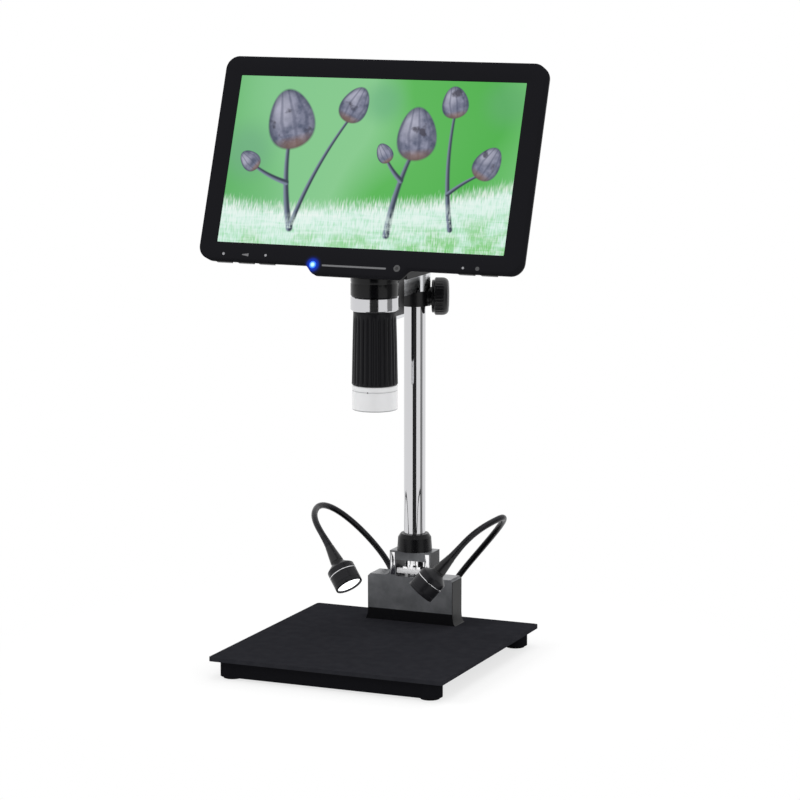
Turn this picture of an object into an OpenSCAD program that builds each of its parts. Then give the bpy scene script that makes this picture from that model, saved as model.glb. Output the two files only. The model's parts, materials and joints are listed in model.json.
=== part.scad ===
// Digital microscope on a pillar stand: tilting 10.1 inch display, fixed lens
// column below it, height carriage on a round pillar, two gooseneck lamps.
// Millimetres, +Z up, +X to the user's right, -Y towards the user.
// The origin is on the standing surface, under the middle of the base plate.

/* [Base] */
// Width of the base plate
base_w = 182; // [170:1:220]
// Depth of the base plate
base_d = 190; // [190:1:230]
// Thickness of the base plate
base_t = 3; // [3:0.5:5]
// Corner radius of the base plate
base_corner = 2.5; // [1:0.5:8]
// Height of the foot rails under the plate
rail_h = 11.5; // [10:0.5:16]
// Depth of a foot rail, which is also the width of its round ends
rail_d = 18; // [16:1:22]
// Distance from the side edge of the plate to the end of a rail
rail_inset = 5; // [3:1:12]
// Distance from the front or rear edge of the plate to a rail
rail_setback = 3; // [2:1:8]
// Diameter of a rubber foot pad
pad_d = 14; // [10:1:15]
// How far a pad stands out below its rail
pad_out = 1.5; // [1:0.5:3]
// How deep a pad sits in its rail
pad_seat = 1; // [0.5:0.5:2]

/* [Bracket] */
// Width of the pillar bracket at its shoulders
bracket_w = 69; // [68:1:90]
// How far the foot of the bracket flares out at each side
bracket_flare = 2.5; // [1:0.5:5]
// Depth of the bracket
bracket_d = 18; // [18:1:26]
// Height of the shoulders above the plate
shoulder_h = 35; // [34:1:42]
// Width of the bracket's tower
tower_w = 33; // [32:1:40]
// Height of the tower above the shoulders
tower_h = 19; // [18:1:24]
// Thickness of the tower's side walls
tower_wall = 5; // [4:0.5:5]
// Thickness of the tower's top wall
tower_top = 7; // [6:0.5:9]
// Wall thickness of the hollow lower part
bracket_wall = 3; // [2.5:0.5:4]
// Thickness of the bracket's rear cover
rear_cover_t = 2.5; // [2:0.5:3]

/* [Pillar] */
// Diameter of the pillar
pillar_d = 16.2; // [15:0.1:18]
// Wall of the pillar tube
pillar_wall = 1.5; // [1:0.5:3]
// Height of the pillar's top end above the floor
pillar_top = 330; // [320:1:380]
// Distance from the rear edge of the plate to the pillar's middle
pillar_inset = 23.5; // [22:0.5:24]
// Diameter of the stud at the pillar's foot
stud_d = 10; // [8:1:10]
// Height of the block nut in the window
nut_h = 4; // [3:0.5:5]
// Diameter of the washer on the nut
washer_d = 21; // [16:0.5:22]
// Largest diameter of the conical collar
collar_d = 26.4; // [24:0.1:28]
// Height of the conical collar
collar_h = 13; // [11:0.5:18]
// Height of the pillar's end cap
pillar_cap_h = 4; // [3:0.5:8]

/* [Carriage] */
// Distance from the lens column to the pillar
arm_reach = 74.5; // [74.5:0.5:76]
// Height of the underside of the lock sleeve at rest
sleeve_z = 255.5; // [250:0.5:256]
// Height of the lock sleeve
sleeve_h = 11.5; // [11.5:0.5:13]
// Wall of the lock sleeve
sleeve_wall = 1.6; // [1.5:0.1:2.5]
// Wall of the nylon liner
liner_wall = 0.9; // [0.8:0.1:1.2]
// Height of the arm and its clamp ring
arm_h = 13; // [12:0.5:14]
// Width of the arm
arm_w = 16; // [12:1:18]
// Outer diameter of the arm's clamp ring
arm_ring_d = 23.4; // [23:0.1:27]
// Depth of the block behind the lens column
arm_block_d = 18; // [16:0.5:20]
// How far that block reaches below the arm
arm_block_drop = 15; // [12:1:18]
// Diameter of the lock knob
knob_d = 28; // [24:1:30]
// Thickness of the lock knob
knob_t = 12.4; // [10:0.1:15]
// Angle by which the lock knob points to the rear
knob_yaw = 20; // [0:1:30]
// Diameter of the lock screw
lock_screw_d = 5; // [4:0.5:6]

/* [Lens column] */
// Diameter of the neck tube
neck_d = 35; // [34.5:0.1:36]
// Visible height of the neck tube
neck_h = 14; // [13:0.5:16]
// Diameter of the bright ring
ring_d = 35.2; // [34.6:0.1:36.4]
// Height of the bright ring
ring_h = 11; // [9:0.5:12]
// Diameter of the focus grip
grip_d = 32; // [31.6:0.1:33]
// Length of the focus grip
grip_l = 53.6; // [50:0.1:56]
// Diameter of the clear hood
hood_d = 33; // [32:0.1:34]
// Height of the clear hood
hood_h = 18; // [16:0.5:22]
// Outer diameter of the fixed guide tube
guide_d = 29.2; // [29:0.1:29.6]
// Wall of the guide tube
guide_wall = 1.2; // [1:0.1:1.4]
// Length of the sliding lens cell
cell_l = 18; // [14:1:22]
// Height of the lens cell's underside at rest
cell_z = 222; // [218:1:226]
// Travel of the lens cell
cell_travel = 10; // [6:1:12]
// Diameter of the objective lens
lens_d = 18; // [14:1:20]

/* [Head] */
// Width of the head housing
head_w = 60; // [58:1:62]
// Height of the underside of the head housing
head_z = 286; // [285:0.5:287]
// Height of the head housing
head_h = 36; // [34:1:38]
// Wall of the head housing
head_wall = 2; // [1.5:0.1:2.5]

/* [Display] */
// Width of the picture area
picture_w = 222.7; // [200:0.1:260]
// Height of the picture area
picture_h = 125.3; // [110:0.1:150]
// Width of the case beside the picture
bezel_side = 13.9; // [12:0.1:18]
// Height of the case above the picture
bezel_top = 14.65; // [12:0.05:18]
// Height of the case below the picture, without the chin
bezel_bottom = 13.05; // [12.5:0.05:18]
// Thickness of the display case at its edges
case_t = 10.5; // [10:0.5:12]
// Corner radius of the display case
case_corner = 10; // [5:1:14]
// Thickness of the front frame, the rest of the case is the rear cover
frame_t = 6.5; // [6.5:0.1:7]
// Wall of the display case
case_wall = 2.2; // [1.8:0.1:2.6]
// How deep the picture lies behind the frame's face
picture_set = 0.8; // [0.5:0.1:1.2]
// How far the chin hangs below the case
chin_drop = 7; // [5:0.5:8]
// Half of the chin's width
chin_half = 41; // [38:1:46]
// How far the rear bulge stands out of the cover
bulge_t = 8; // [6:0.5:8]
// Width of the rear bulge
bulge_w = 150; // [120:2:160]
// Tilt of the display from upright
display_tilt = 20.2; // [15:0.1:22]
// Width of a key under the display
key_w = 12; // [8:0.5:13]
// How far a key stands out
key_out = 1.2; // [0.8:0.1:2]

/* [Lamps] */
// Diameter of a gooseneck
goose_d = 4.8; // [4:0.1:5.5]
// Diameter of a lamp's body
lamp_d = 21; // [19:0.5:22]
// Length of a lamp's front barrel
lamp_front_l = 10.9; // [9:0.1:13]
// Length of a lamp's rear barrel
lamp_rear_l = 8.5; // [7:0.1:10]
// Length of the cone between a lamp's rear barrel and its sleeve
lamp_shoulder_l = 4; // [2:0.5:6]
// Length of the tapered sleeve behind a lamp
lamp_sleeve_l = 15; // [12:0.5:18]
// Diameter of the tapered sleeve at the lamp
lamp_sleeve_d = 10.4; // [9:0.1:12]
// Diameter of a gooseneck's socket
socket_d = 9; // [8:0.5:11]
// Height of a gooseneck's socket
socket_h = 7; // [6:0.5:9]
// Diameter of the dimmer knob
dimmer_d = 15; // [12:1:18]

/* [Fits] */
// Radial clearance of shafts and pins that turn or slide
run_fit = 0.05; // [0.03:0.01:0.08]
// Clearance between pieces that pass each other
gap = 0.3; // [0.2:0.05:0.5]
// Smoothness of round pieces
$fn = 48; // [24:4:96]

/* [Hidden] */

// Heights that build up from the floor
rail_top = pad_out + rail_h;
plate_top = rail_top + base_t;
shoulder_z = plate_top + shoulder_h;
tower_z = shoulder_z + tower_h;
arm_z = sleeve_z + sleeve_h;
arm_top = arm_z + arm_h;
// Rails and pads
rail_y = base_d / 2 - rail_setback - rail_d / 2;
rail_x = base_w / 2 - rail_inset - rail_d / 2;
rail_screw_x = rail_x / 2;
screw_r = 1.5;
screw_head_r = 3;
screw_head_h = 1.8;
// Bracket
pillar_back = base_d / 2 - pillar_inset;
bracket_front = pillar_back - bracket_d / 2;
bracket_back = pillar_back + bracket_d / 2;
flare_h = 8;
tower_fillet = 4;
window_floor = shoulder_z - 0.5;
window_top = tower_z - tower_top;
window_half = tower_w / 2 - tower_wall;
pocket_half = bracket_w / 2 - bracket_wall;
pocket_top = shoulder_z - bracket_wall;
post_r = 4;
post_x = pocket_half - 6;
post_y = bracket_front + bracket_wall + post_r - 1;
bracket_screw_l = 12;
cover_front = bracket_back - rear_cover_t;
socket_x = pocket_half - 5.5;
socket_z = plate_top + 27;
socket_stem_r = 3;
socket_mouth_r = 3.4;
socket_mouth_l = 1.2;
dimmer_z = plate_top + 16;
dimmer_shaft_r = 3;
dimmer_l = 8;
pot_r = 6;
pot_l = 6;
inlet_x = -15;
inlet_z = plate_top + 10;
inlet_w = 9;
inlet_h = 3.4;
board_t = 1.6;
board_half = 21;
board_h = 26;
// Pillar
pillar_r = pillar_d / 2;
pillar_in_r = pillar_r - pillar_wall;
pillar_plug = 8;
stud_r = stud_d / 2;
nut_half = window_half - gap;
nut_d = bracket_d - 2;
nut_z = window_floor + 2.5;
washer_t = 1.5;
nut_neck_r = stud_r + 2;
// Carriage
liner_in_r = pillar_r + run_fit;
liner_r = liner_in_r + liner_wall;
sleeve_in_r = liner_r + run_fit;
sleeve_r = sleeve_in_r + sleeve_wall;
knob_z = sleeve_z + 6.9;
boss_r = 4.4;
boss_end = sleeve_r + 1.8;
knob_start = max(boss_end + gap, arm_ring_d / 2 + 1.2);
knob_r = knob_d / 2;
lock_screw_r = lock_screw_d / 2;
// Lens column
lens_y = pillar_back - arm_reach;
neck_z = head_z - neck_h;
ring_z = neck_z - ring_h;
grip_top = ring_z - gap;
grip_z = grip_top - grip_l;
hood_z = grip_z - gap - hood_h;
guide_r = guide_d / 2;
guide_in_r = guide_r - guide_wall;
guide_seat = 0.05;
guide_z = hood_z + 11;
guide_top = head_z + 7.7;
cell_r = guide_in_r - run_fit;
lens_r = lens_d / 2;
lens_seat = 1.6;
lens_edge = 3;
cell_pin_r = 1.2;
led_count = 8;
led_circle_r = 10.6;
led_board_in_r = 7.6;
led_board_t = 1.4;
led_r = 1.5;
led_h = 1.6;
// Head
head_half = head_w / 2;
column_cut_r = neck_d / 2 + 0.1;
block_back = lens_y + neck_d / 2 + arm_block_d;
block_z = arm_z - arm_block_drop;
hinge_y = lens_y - 17.5;
hinge_z = head_z + 10.7;
hinge_r = 4.5;
pin_r = 2;
ear_x = 20;
ear_w = 6;
hinge_bracket_w = 8;
head_front = hinge_y + 6.5;
head_back = block_back + 3.5;
head_top = head_z + head_h;
head_knee = head_z + head_h / 2;
head_slope = 12;
head_cover_t = 2;
seat_r = neck_d / 2 + 1;
seat_h = 10;
arm_screw_x = 4.5;
arm_screw_y = block_back - 6;
arm_screw_top = head_z + 7;
// Display, in its own frame: x along the width, y into the depth, z up the face
case_w = picture_w + 2 * bezel_side;
case_low = -picture_h / 2 - bezel_bottom;
case_high = picture_h / 2 + bezel_top;
hinge_w = case_t + 6;
hinge_u = case_low + 5.7;
display_y = hinge_y - hinge_w * cos(display_tilt) - hinge_u * sin(display_tilt);
display_z = hinge_z + hinge_w * sin(display_tilt) - hinge_u * cos(display_tilt);
panel_rim = 4;
panel_t = 3.4;
bulge_rise = 44;
bulge_drop = 27;
bulge_low = hinge_u + bulge_rise;
bulge_high = case_high - bulge_drop;
bulge_corner = 8;
cover_skin = 2;
key_t = 2.6;
key_y = frame_t - 1.7;
key_travel = 0.5;
key_flange = 1;
// Keys, from the left and from the right side of the case
keys_from_left = [20.25, 37.75, 54.25];
keys_from_right = [41.25, 24.25];
key_x = concat([for (d = keys_from_left) d - case_w / 2],
    [for (d = keys_from_right) case_w / 2 - d]);
status_x = -33;
status_r = 3;
chin_end = 9;
hinge_plate_t = 2;
hinge_plate_l = 28;
// Lamps
lamp_r = lamp_d / 2;
lamp_ring_l = 0.8;
lamp_lens_set = 1.2;
lamp_cup = 7;
lamp_bore_r = lamp_r - 1.4;
// Middle of a lamp's bright ring, and the way its rear end points
lamp_at = [34.8, lens_y + 20.4, 59.5];
lamp_lean = 41.6;
lamp_turn = 25.8;
lamp_back = [sin(lamp_lean) * cos(lamp_turn), sin(lamp_lean) * sin(lamp_turn), cos(lamp_lean)];
lamp_end = lamp_at + (lamp_rear_l + lamp_sleeve_l) * lamp_back;
goose_r = goose_d / 2;
// A gooseneck's control points, drawn for the right side: lamp end to crown, crown to socket
socket_end = [socket_x, bracket_back + socket_h, socket_z];
crown_right = [74, pillar_back - 16.5, 102.5];
crown_left = [73.2, pillar_back - 16.5, 99.3];
lamp_lead = 14;
socket_lead = [-3, 13, 6];
back_right = [10, 28, 5];
back_left = [3.8, 22.2, 3.1];
on_right = [9, 25, 4.5];
on_left = [3.3, 34.5, 6.9];
function upper_route(crown, back) =
    [lamp_end, lamp_end + lamp_lead * lamp_back, crown - back, crown];
function lower_route(crown, on) = [crown, crown + on, socket_end + socket_lead, socket_end];
goose_rings = 18;
goose_sides = 10;

// ---------- helpers ----------
// A tube standing on z = 0
module tube(outer_r, inner_r, height) {
    difference() {
        cylinder(r = outer_r, h = height);
        translate([0, 0, -1]) cylinder(r = inner_r, h = height + 2);
    }
}

// A round bar or bore along +Y from y = 0
module along_y(r, length) {
    rotate([-90, 0, 0]) cylinder(r = r, h = length);
}

// A round bar or bore along +X from x = 0
module along_x(r, length) {
    rotate([0, 90, 0]) cylinder(r = r, h = length);
}

// A rectangle with round corners, its lower left corner at the origin
module round_rect(w, h, r) {
    translate([r, 0]) square([w - 2 * r, h]);
    translate([0, r]) square([w, h - 2 * r]);
    for (x = [r, w - r], y = [r, h - r]) translate([x, y]) circle(r = r);
}

// A flat outline in x and z, made solid from depth y0 over thickness t
module slab(y0, t) {
    translate([0, y0 + t, 0]) rotate([90, 0, 0]) linear_extrude(t) children();
}

// A flat outline in y and z, made solid over x from -half to half
module rib(half) {
    translate([-half, 0, 0]) rotate([90, 0, 90]) linear_extrude(2 * half) children();
}

module both_sides() {
    children();
    mirror([1, 0, 0]) children();
}

module on_pillar() { translate([0, pillar_back, 0]) children(); }
module on_column() { translate([0, lens_y, 0]) children(); }

// The display's own frame
module on_display() {
    translate([0, display_y, display_z]) rotate([-display_tilt, 0, 0]) children();
}

// A lamp's own frame: its axis is z, which points to its rear
module on_lamp() {
    translate(lamp_at) rotate([0, lamp_lean, lamp_turn]) children();
}

// Towards the lock knob: its axis is z
module on_knob() {
    translate([0, pillar_back, knob_z]) rotate([0, 90, knob_yaw]) children();
}

// A screw with a flat head below z = 0 and its shaft above
module screw_up(head_r, head_h, shaft_r, length) {
    translate([0, 0, -head_h]) cylinder(r = head_r, h = head_h);
    cylinder(r = shaft_r, h = length);
}

// ---------- gooseneck tube ----------
function bezier(p, t) = pow(1 - t, 3) * p[0] + 3 * pow(1 - t, 2) * t * p[1]
    + 3 * (1 - t) * t * t * p[2] + pow(t, 3) * p[3];
function slope(p, t) = 3 * pow(1 - t, 2) * (p[1] - p[0]) + 6 * (1 - t) * t * (p[2] - p[1])
    + 3 * t * t * (p[3] - p[2]);
function unit(v) = v / norm(v);

// A round tube along a four-point curve: it starts flat, clear of the ball at the
// route's start, and ends in a ball centred on the route's end
module swept_tube(route, r) {
    side = unit(cross(route[3] - route[0], [0, 0, 1]));
    start = (r + gap) / (3 * norm(route[1] - route[0]));
    n = goose_sides;
    // each ring: place, direction and radius
    tube_rings = [for (i = [0:goose_rings]) let (t = start + (1 - start) * i / goose_rings)
        [bezier(route, t), unit(slope(route, t)), r]];
    last = unit(slope(route, 1));
    ball_rings = [for (a = [30, 55, 80]) [route[3] + r * sin(a) * last, last, r * cos(a)]];
    rings = concat(tube_rings, ball_rings);
    points = [for (ring = rings, k = [0:n - 1])
        let (d = ring[1], u = unit(side - (side * d) * d), v = cross(d, u), a = 360 * k / n)
        ring[0] + ring[2] * (cos(a) * u + sin(a) * v)];
    last_ring = (len(rings) - 1) * n;
    walls = [for (i = [0:len(rings) - 2], k = [0:n - 1])
        let (p = i * n + k, q = i * n + (k + 1) % n)
        each [[p, q + n, q], [p, p + n, q + n]]];
    polyhedron(points, concat([[for (k = [0:n - 1]) k]], walls,
        [[for (k = [n - 1:-1:0]) last_ring + k]]), convexity = 6);
}

// ---------- base ----------
module rail_screw_places() {
    for (x = [-rail_screw_x, rail_screw_x]) translate([x, 0, 0]) children();
}

module bracket_screw_places() {
    for (x = [-post_x, post_x]) translate([x, post_y, 0]) children();
}

module base_plate() {
    color([0.06, 0.06, 0.065])
    difference() {
        translate([-base_w / 2, -base_d / 2, rail_top])
            linear_extrude(base_t) round_rect(base_w, base_d, base_corner);
        for (y = [-rail_y, rail_y]) translate([0, y, rail_top - 1])
            rail_screw_places() cylinder(r = screw_r, h = base_t);
        translate([0, 0, rail_top - 1])
            bracket_screw_places() cylinder(r = screw_r + gap, h = base_t + 2);
    }
}

module foot_rail() {
    difference() {
        union() {
            translate([-rail_x, -rail_d / 2 + 1, pad_out]) cube([2 * rail_x, rail_d - 2, rail_h]);
            both_sides() translate([rail_x, 0, pad_out]) cylinder(r = rail_d / 2, h = rail_h);
        }
        both_sides() translate([rail_x, 0, pad_out - 1]) cylinder(r = pad_d / 2, h = pad_seat + 1);
        rail_screw_places() {
            translate([0, 0, pad_out - 1]) cylinder(r = screw_head_r + gap, h = rail_h - 2);
            cylinder(r = screw_r + gap, h = rail_top + 1);
        }
    }
}

module foot_rail_front() { color([0.04, 0.04, 0.045]) translate([0, -rail_y, 0]) foot_rail(); }
module foot_rail_rear() { color([0.04, 0.04, 0.045]) translate([0, rail_y, 0]) foot_rail(); }

module rubber_pads() {
    color([0.03, 0.03, 0.03])
    for (y = [-rail_y, rail_y]) translate([0, y, 0]) both_sides() translate([rail_x, 0, 0])
        cylinder(r = pad_d / 2 - 0.1, h = pad_out + pad_seat);
}

module base_screws() {
    color([0.75, 0.75, 0.77]) {
        for (y = [-rail_y, rail_y]) translate([0, y, pad_out + rail_h - 3])
            rail_screw_places() screw_up(screw_head_r, screw_head_h, screw_r, base_t + 2);
        translate([0, 0, rail_top])
            bracket_screw_places() screw_up(screw_head_r, screw_head_h, screw_r, bracket_screw_l);
    }
}

// ---------- bracket ----------
module bracket_outline() {
    half = bracket_w / 2;
    tower = tower_w / 2;
    right = concat(
        [for (a = [0:15:90]) [half + bracket_flare * (1 - sin(a)), plate_top + flare_h * (1 - cos(a))]],
        [[half, shoulder_z - 2], [half - 2, shoulder_z]],
        [for (a = [0:18:90]) [tower + tower_fillet * (1 - sin(a)), shoulder_z + tower_fillet * (1 - cos(a))]],
        [[tower, tower_z]]);
    left = [for (i = [len(right) - 1:-1:0]) [-right[i][0], right[i][1]]];
    polygon(concat(right, left));
}

module pillar_bracket() {
    color([0.45, 0.46, 0.48])
    difference() {
        slab(bracket_front, bracket_d) bracket_outline();
        translate([-window_half, bracket_front - 1, window_floor])
            cube([2 * window_half, bracket_d + 2, window_top - window_floor]);
        difference() {
            translate([-pocket_half, bracket_front + bracket_wall, plate_top - 1])
                cube([2 * pocket_half, bracket_d, pocket_top - plate_top + 1]);
            both_sides() translate([post_x, post_y, plate_top - 2])
                cylinder(r = post_r, h = shoulder_h + 2);
        }
        translate([0, 0, plate_top - 1])
            bracket_screw_places() cylinder(r = screw_r, h = bracket_screw_l + 1);
        on_pillar() translate([0, 0, window_top - 1]) cylinder(r = stud_r + 0.05, h = tower_top + 2);
    }
}

module bracket_rear_cover() {
    color([0.12, 0.12, 0.13])
    difference() {
        translate([-pocket_half + 0.2, cover_front, plate_top + gap])
            cube([2 * pocket_half - 0.4, rear_cover_t, pocket_top - plate_top - gap - 0.2]);
        both_sides() translate([socket_x, cover_front - 1, socket_z])
            along_y(socket_stem_r, rear_cover_t + 2);
        translate([0, cover_front - 1, dimmer_z]) along_y(dimmer_shaft_r + 0.5, rear_cover_t + 2);
        translate([inlet_x, 0, inlet_z]) slab(cover_front - 1, rear_cover_t + 2)
            inlet_outline(0.15);
    }
}

module inlet_outline(grow) {
    h = inlet_h + 2 * grow;
    translate([-inlet_w / 2 - grow, -h / 2]) round_rect(inlet_w + 2 * grow, h, h / 2 - 0.01);
}

module control_board() {
    pot_y = cover_front - 0.1 - pot_l;
    color([0.05, 0.25, 0.12])
    difference() {
        union() {
            translate([-board_half, pot_y - board_t, plate_top + gap])
                cube([2 * board_half, board_t, board_h]);
            translate([0, pot_y - 0.1, dimmer_z]) along_y(pot_r, pot_l + 0.1);
        }
        translate([0, pot_y + 1, dimmer_z]) along_y(dimmer_shaft_r + run_fit, pot_l);
    }
}

module power_inlet() {
    inlet_y = cover_front - 0.1 - pot_l;
    inlet_l = bracket_back - inlet_y;
    color([0.7, 0.71, 0.73])
    translate([inlet_x, 0, inlet_z]) difference() {
        slab(inlet_y, inlet_l) inlet_outline(0);
        slab(inlet_y + 2, inlet_l) inlet_outline(-0.4);
    }
}

module dimmer_knob() {
    color([0.04, 0.04, 0.045])
    translate([0, 0, dimmer_z]) {
        translate([0, cover_front - pot_l + 1.2, 0])
            along_y(dimmer_shaft_r, pot_l - 1.2 + rear_cover_t + gap + 1);
        translate([0, bracket_back + gap, 0]) along_y(dimmer_d / 2, dimmer_l);
    }
}

// ---------- pillar ----------
module pillar() {
    color([0.85, 0.85, 0.87])
    on_pillar() difference() {
        union() {
            translate([0, 0, tower_z]) cylinder(r = pillar_r, h = pillar_top - tower_z);
            translate([0, 0, window_floor + gap])
                cylinder(r = stud_r, h = tower_z - window_floor);
        }
        translate([0, 0, tower_z + pillar_plug])
            cylinder(r = pillar_in_r, h = pillar_top - tower_z);
    }
}

module pillar_nut() {
    color([0.8, 0.8, 0.82])
    on_pillar() {
        difference() {
            translate([-nut_half, -nut_d / 2, nut_z]) cube([2 * nut_half, nut_d, nut_h]);
            translate([0, 0, nut_z - 1]) cylinder(r = stud_r + 0.05, h = nut_h + 2);
        }
        translate([0, 0, nut_z + nut_h]) tube(washer_d / 2, stud_r + 0.05, washer_t);
        translate([0, 0, nut_z + nut_h + washer_t])
            tube(nut_neck_r, stud_r + 0.05, window_top - nut_z - nut_h - washer_t);
    }
}

module pillar_collar() {
    color([0.05, 0.05, 0.055])
    on_pillar() translate([0, 0, tower_z]) rotate_extrude() polygon([
        [pillar_r + 0.05, 0], [collar_d / 2, 0], [collar_d / 2 - 0.7, collar_h - 3],
        [collar_d / 2 - 2.7, collar_h], [pillar_r + 0.05, collar_h]]);
}

module pillar_cap() {
    color([0.05, 0.05, 0.055])
    on_pillar() {
        translate([0, 0, pillar_top]) cylinder(r = pillar_r, h = pillar_cap_h);
        translate([0, 0, pillar_top - 8]) cylinder(r = pillar_in_r - 0.05, h = 8);
    }
}

// ---------- carriage ----------
module pillar_liner() {
    color([0.12, 0.12, 0.12])
    on_pillar() {
        translate([0, 0, sleeve_z]) tube(liner_r, liner_in_r, arm_top - sleeve_z);
        translate([0, 0, arm_top + gap]) tube(liner_r + 1.2, liner_in_r, 1);
        translate([0, 0, arm_top]) tube(liner_r, liner_in_r, gap);
    }
}

module lock_sleeve() {
    color([0.04, 0.04, 0.045])
    difference() {
        union() {
            on_pillar() translate([0, 0, sleeve_z]) cylinder(r = sleeve_r, h = sleeve_h);
            on_knob() cylinder(r = boss_r, h = boss_end);
        }
        on_pillar() translate([0, 0, sleeve_z - 1]) cylinder(r = sleeve_in_r, h = sleeve_h + 2);
        on_knob() cylinder(r = lock_screw_r + run_fit, h = boss_end + 1);
    }
}

module lock_knob() {
    color([0.03, 0.03, 0.035])
    on_knob() translate([0, 0, knob_start]) difference() {
        rotate_extrude() polygon([[0, 0], [knob_r - 2, 0], [knob_r, 2], [knob_r, knob_t - 2.5],
            [knob_r - 2.5, knob_t], [0, knob_t]]);
        translate([0, 0, -1]) cylinder(r = lock_screw_r, h = knob_t - 2);
    }
}

module lock_screw() {
    color([0.7, 0.7, 0.72])
    on_knob() translate([0, 0, liner_r + gap])
        cylinder(r = lock_screw_r, h = knob_start + knob_t - 3 - liner_r - gap);
}

module arm_screw_places() {
    for (x = [-arm_screw_x, arm_screw_x]) translate([x, arm_screw_y, 0]) children();
}

module carriage_arm() {
    color([0.55, 0.56, 0.58])
    difference() {
        union() {
            on_pillar() translate([0, 0, arm_z]) cylinder(r = arm_ring_d / 2, h = arm_h);
            translate([-arm_w / 2, block_back - 1, arm_z])
                cube([arm_w, pillar_back - block_back + 1, arm_h]);
            translate([-arm_w / 2, lens_y + neck_d / 2 - 3, block_z])
                cube([arm_w, arm_block_d + 3, head_z - block_z]);
        }
        on_pillar() translate([0, 0, arm_z - 1]) cylinder(r = sleeve_in_r, h = arm_h + 2);
        on_column() translate([0, 0, block_z - 1]) cylinder(r = column_cut_r, h = head_z);
        arm_screw_places() {
            translate([0, 0, block_z - 1]) cylinder(r = screw_r + 0.05, h = head_z);
            translate([0, 0, block_z - 1]) cylinder(r = screw_head_r + 0.1, h = 4);
        }
    }
}

module arm_screws() {
    color([0.75, 0.75, 0.77])
    arm_screw_places() translate([0, 0, block_z + 3])
        screw_up(screw_head_r, 2.5, screw_r, arm_screw_top - block_z - 4);
}

// ---------- head ----------
module head_outline(wall, back) {
    polygon([[head_front + wall, head_z + wall], [head_front + wall, head_knee - wall * 0.35],
        [head_front + head_slope + wall * 0.7, head_top - wall], [back, head_top - wall],
        [back, head_z + wall]]);
}

module head_housing() {
    color([0.05, 0.05, 0.055])
    difference() {
        union() {
            difference() {
                rib(head_half) head_outline(0, head_back);
                rib(head_half - head_wall) head_outline(head_wall, head_back + 1);
            }
            on_column() translate([0, 0, head_z]) cylinder(r = seat_r, h = seat_h);
            arm_screw_places() translate([0, 0, head_z]) cylinder(r = 3.4, h = arm_screw_top - head_z);
            both_sides() translate([ear_x, 0, 0]) {
                translate([0, hinge_y, hinge_z]) along_x(hinge_r, ear_w);
                translate([0, hinge_y, hinge_z - hinge_r])
                    cube([ear_w, head_front - hinge_y + 1, 2 * hinge_r]);
            }
        }
        on_column() translate([0, 0, head_z - 1]) cylinder(r = guide_r + guide_seat, h = seat_h + 2);
        arm_screw_places() translate([0, 0, head_z - 1]) cylinder(r = screw_r, h = arm_screw_top - head_z);
        translate([-head_half, hinge_y, hinge_z]) along_x(pin_r, head_w);
    }
}

module head_cover() {
    color([0.06, 0.06, 0.065])
    translate([-head_half + head_wall + 0.2, head_back - head_cover_t, head_z + head_wall + 0.2])
        cube([head_w - 2 * head_wall - 0.4, head_cover_t, head_h - 2 * head_wall - 0.4]);
}

module hinge_pins() {
    color([0.7, 0.7, 0.72])
    both_sides() translate([ear_x - 1, hinge_y, hinge_z])
        along_x(pin_r, ear_w + gap + hinge_bracket_w + 2);
}

module sensor_board() {
    board_z = head_z + seat_h;
    half = 13;
    front = head_front + head_wall + 0.5 - lens_y;
    color([0.05, 0.2, 0.1])
    on_column() {
        translate([-half, front, board_z]) cube([2 * half, 2 * half, board_t]);
        translate([-4, -4, board_z - 1.5]) cube([8, 8, 1.6]);
    }
}

// ---------- lens column ----------
module neck_tube() {
    color([0.02, 0.02, 0.02])
    on_column() translate([0, 0, neck_z]) tube(neck_d / 2, guide_r + guide_seat, neck_h);
}

module bright_ring() {
    color([0.8, 0.8, 0.82])
    on_column() translate([0, 0, ring_z]) tube(ring_d / 2, guide_r + guide_seat, ring_h);
}

module guide_tube() {
    color([0.1, 0.1, 0.1])
    on_column() difference() {
        translate([0, 0, guide_z]) tube(guide_r, guide_in_r, guide_top - guide_z);
        for (i = [0:1]) rotate([0, 0, 90 + 180 * i])
            translate([0, -cell_pin_r - 0.2, cell_z + cell_l / 2 - cell_pin_r - 0.3])
                cube([guide_r + 2, 2 * cell_pin_r + 0.4, cell_travel + 2 * cell_pin_r + 0.6]);
    }
}

module focus_grip() {
    ribs = 20;
    color([0.03, 0.03, 0.03])
    on_column() translate([0, 0, grip_z]) difference() {
        cylinder(r = grip_d / 2, h = grip_l);
        translate([0, 0, -1]) cylinder(r = guide_r + run_fit, h = grip_l + 2);
        for (i = [0:ribs - 1]) rotate([0, 0, 360 * i / ribs])
            translate([grip_d / 2 + 1.1, 0, 3]) cylinder(r = 1.6, h = grip_l - 8);
    }
}

module lens_cell() {
    color([0.08, 0.08, 0.08])
    on_column() {
        translate([0, 0, cell_z]) difference() {
            cylinder(r = cell_r, h = cell_l);
            translate([0, 0, -1]) cylinder(r = lens_r - 1.5, h = cell_l + 2);
            translate([0, 0, -1]) cylinder(r = lens_r + 0.02, h = lens_seat + lens_edge + 1);
        }
        for (i = [0:1]) rotate([0, 0, 180 * i]) translate([0, cell_r - 1, cell_z + cell_l / 2])
            along_y(cell_pin_r, guide_r - cell_r + 0.6);
    }
}

module objective_lens() {
    dome = 1.2;
    dome_r = (lens_r * lens_r + dome * dome) / (2 * dome);
    color([0.75, 0.85, 0.95, 0.5])
    on_column() translate([0, 0, cell_z + lens_seat]) {
        cylinder(r = lens_r - 0.03, h = lens_edge);
        intersection() {
            translate([0, 0, dome_r - dome]) sphere(r = dome_r);
            translate([0, 0, -dome]) cylinder(r = lens_r - 0.1, h = dome + 0.5);
        }
    }
}

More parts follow.
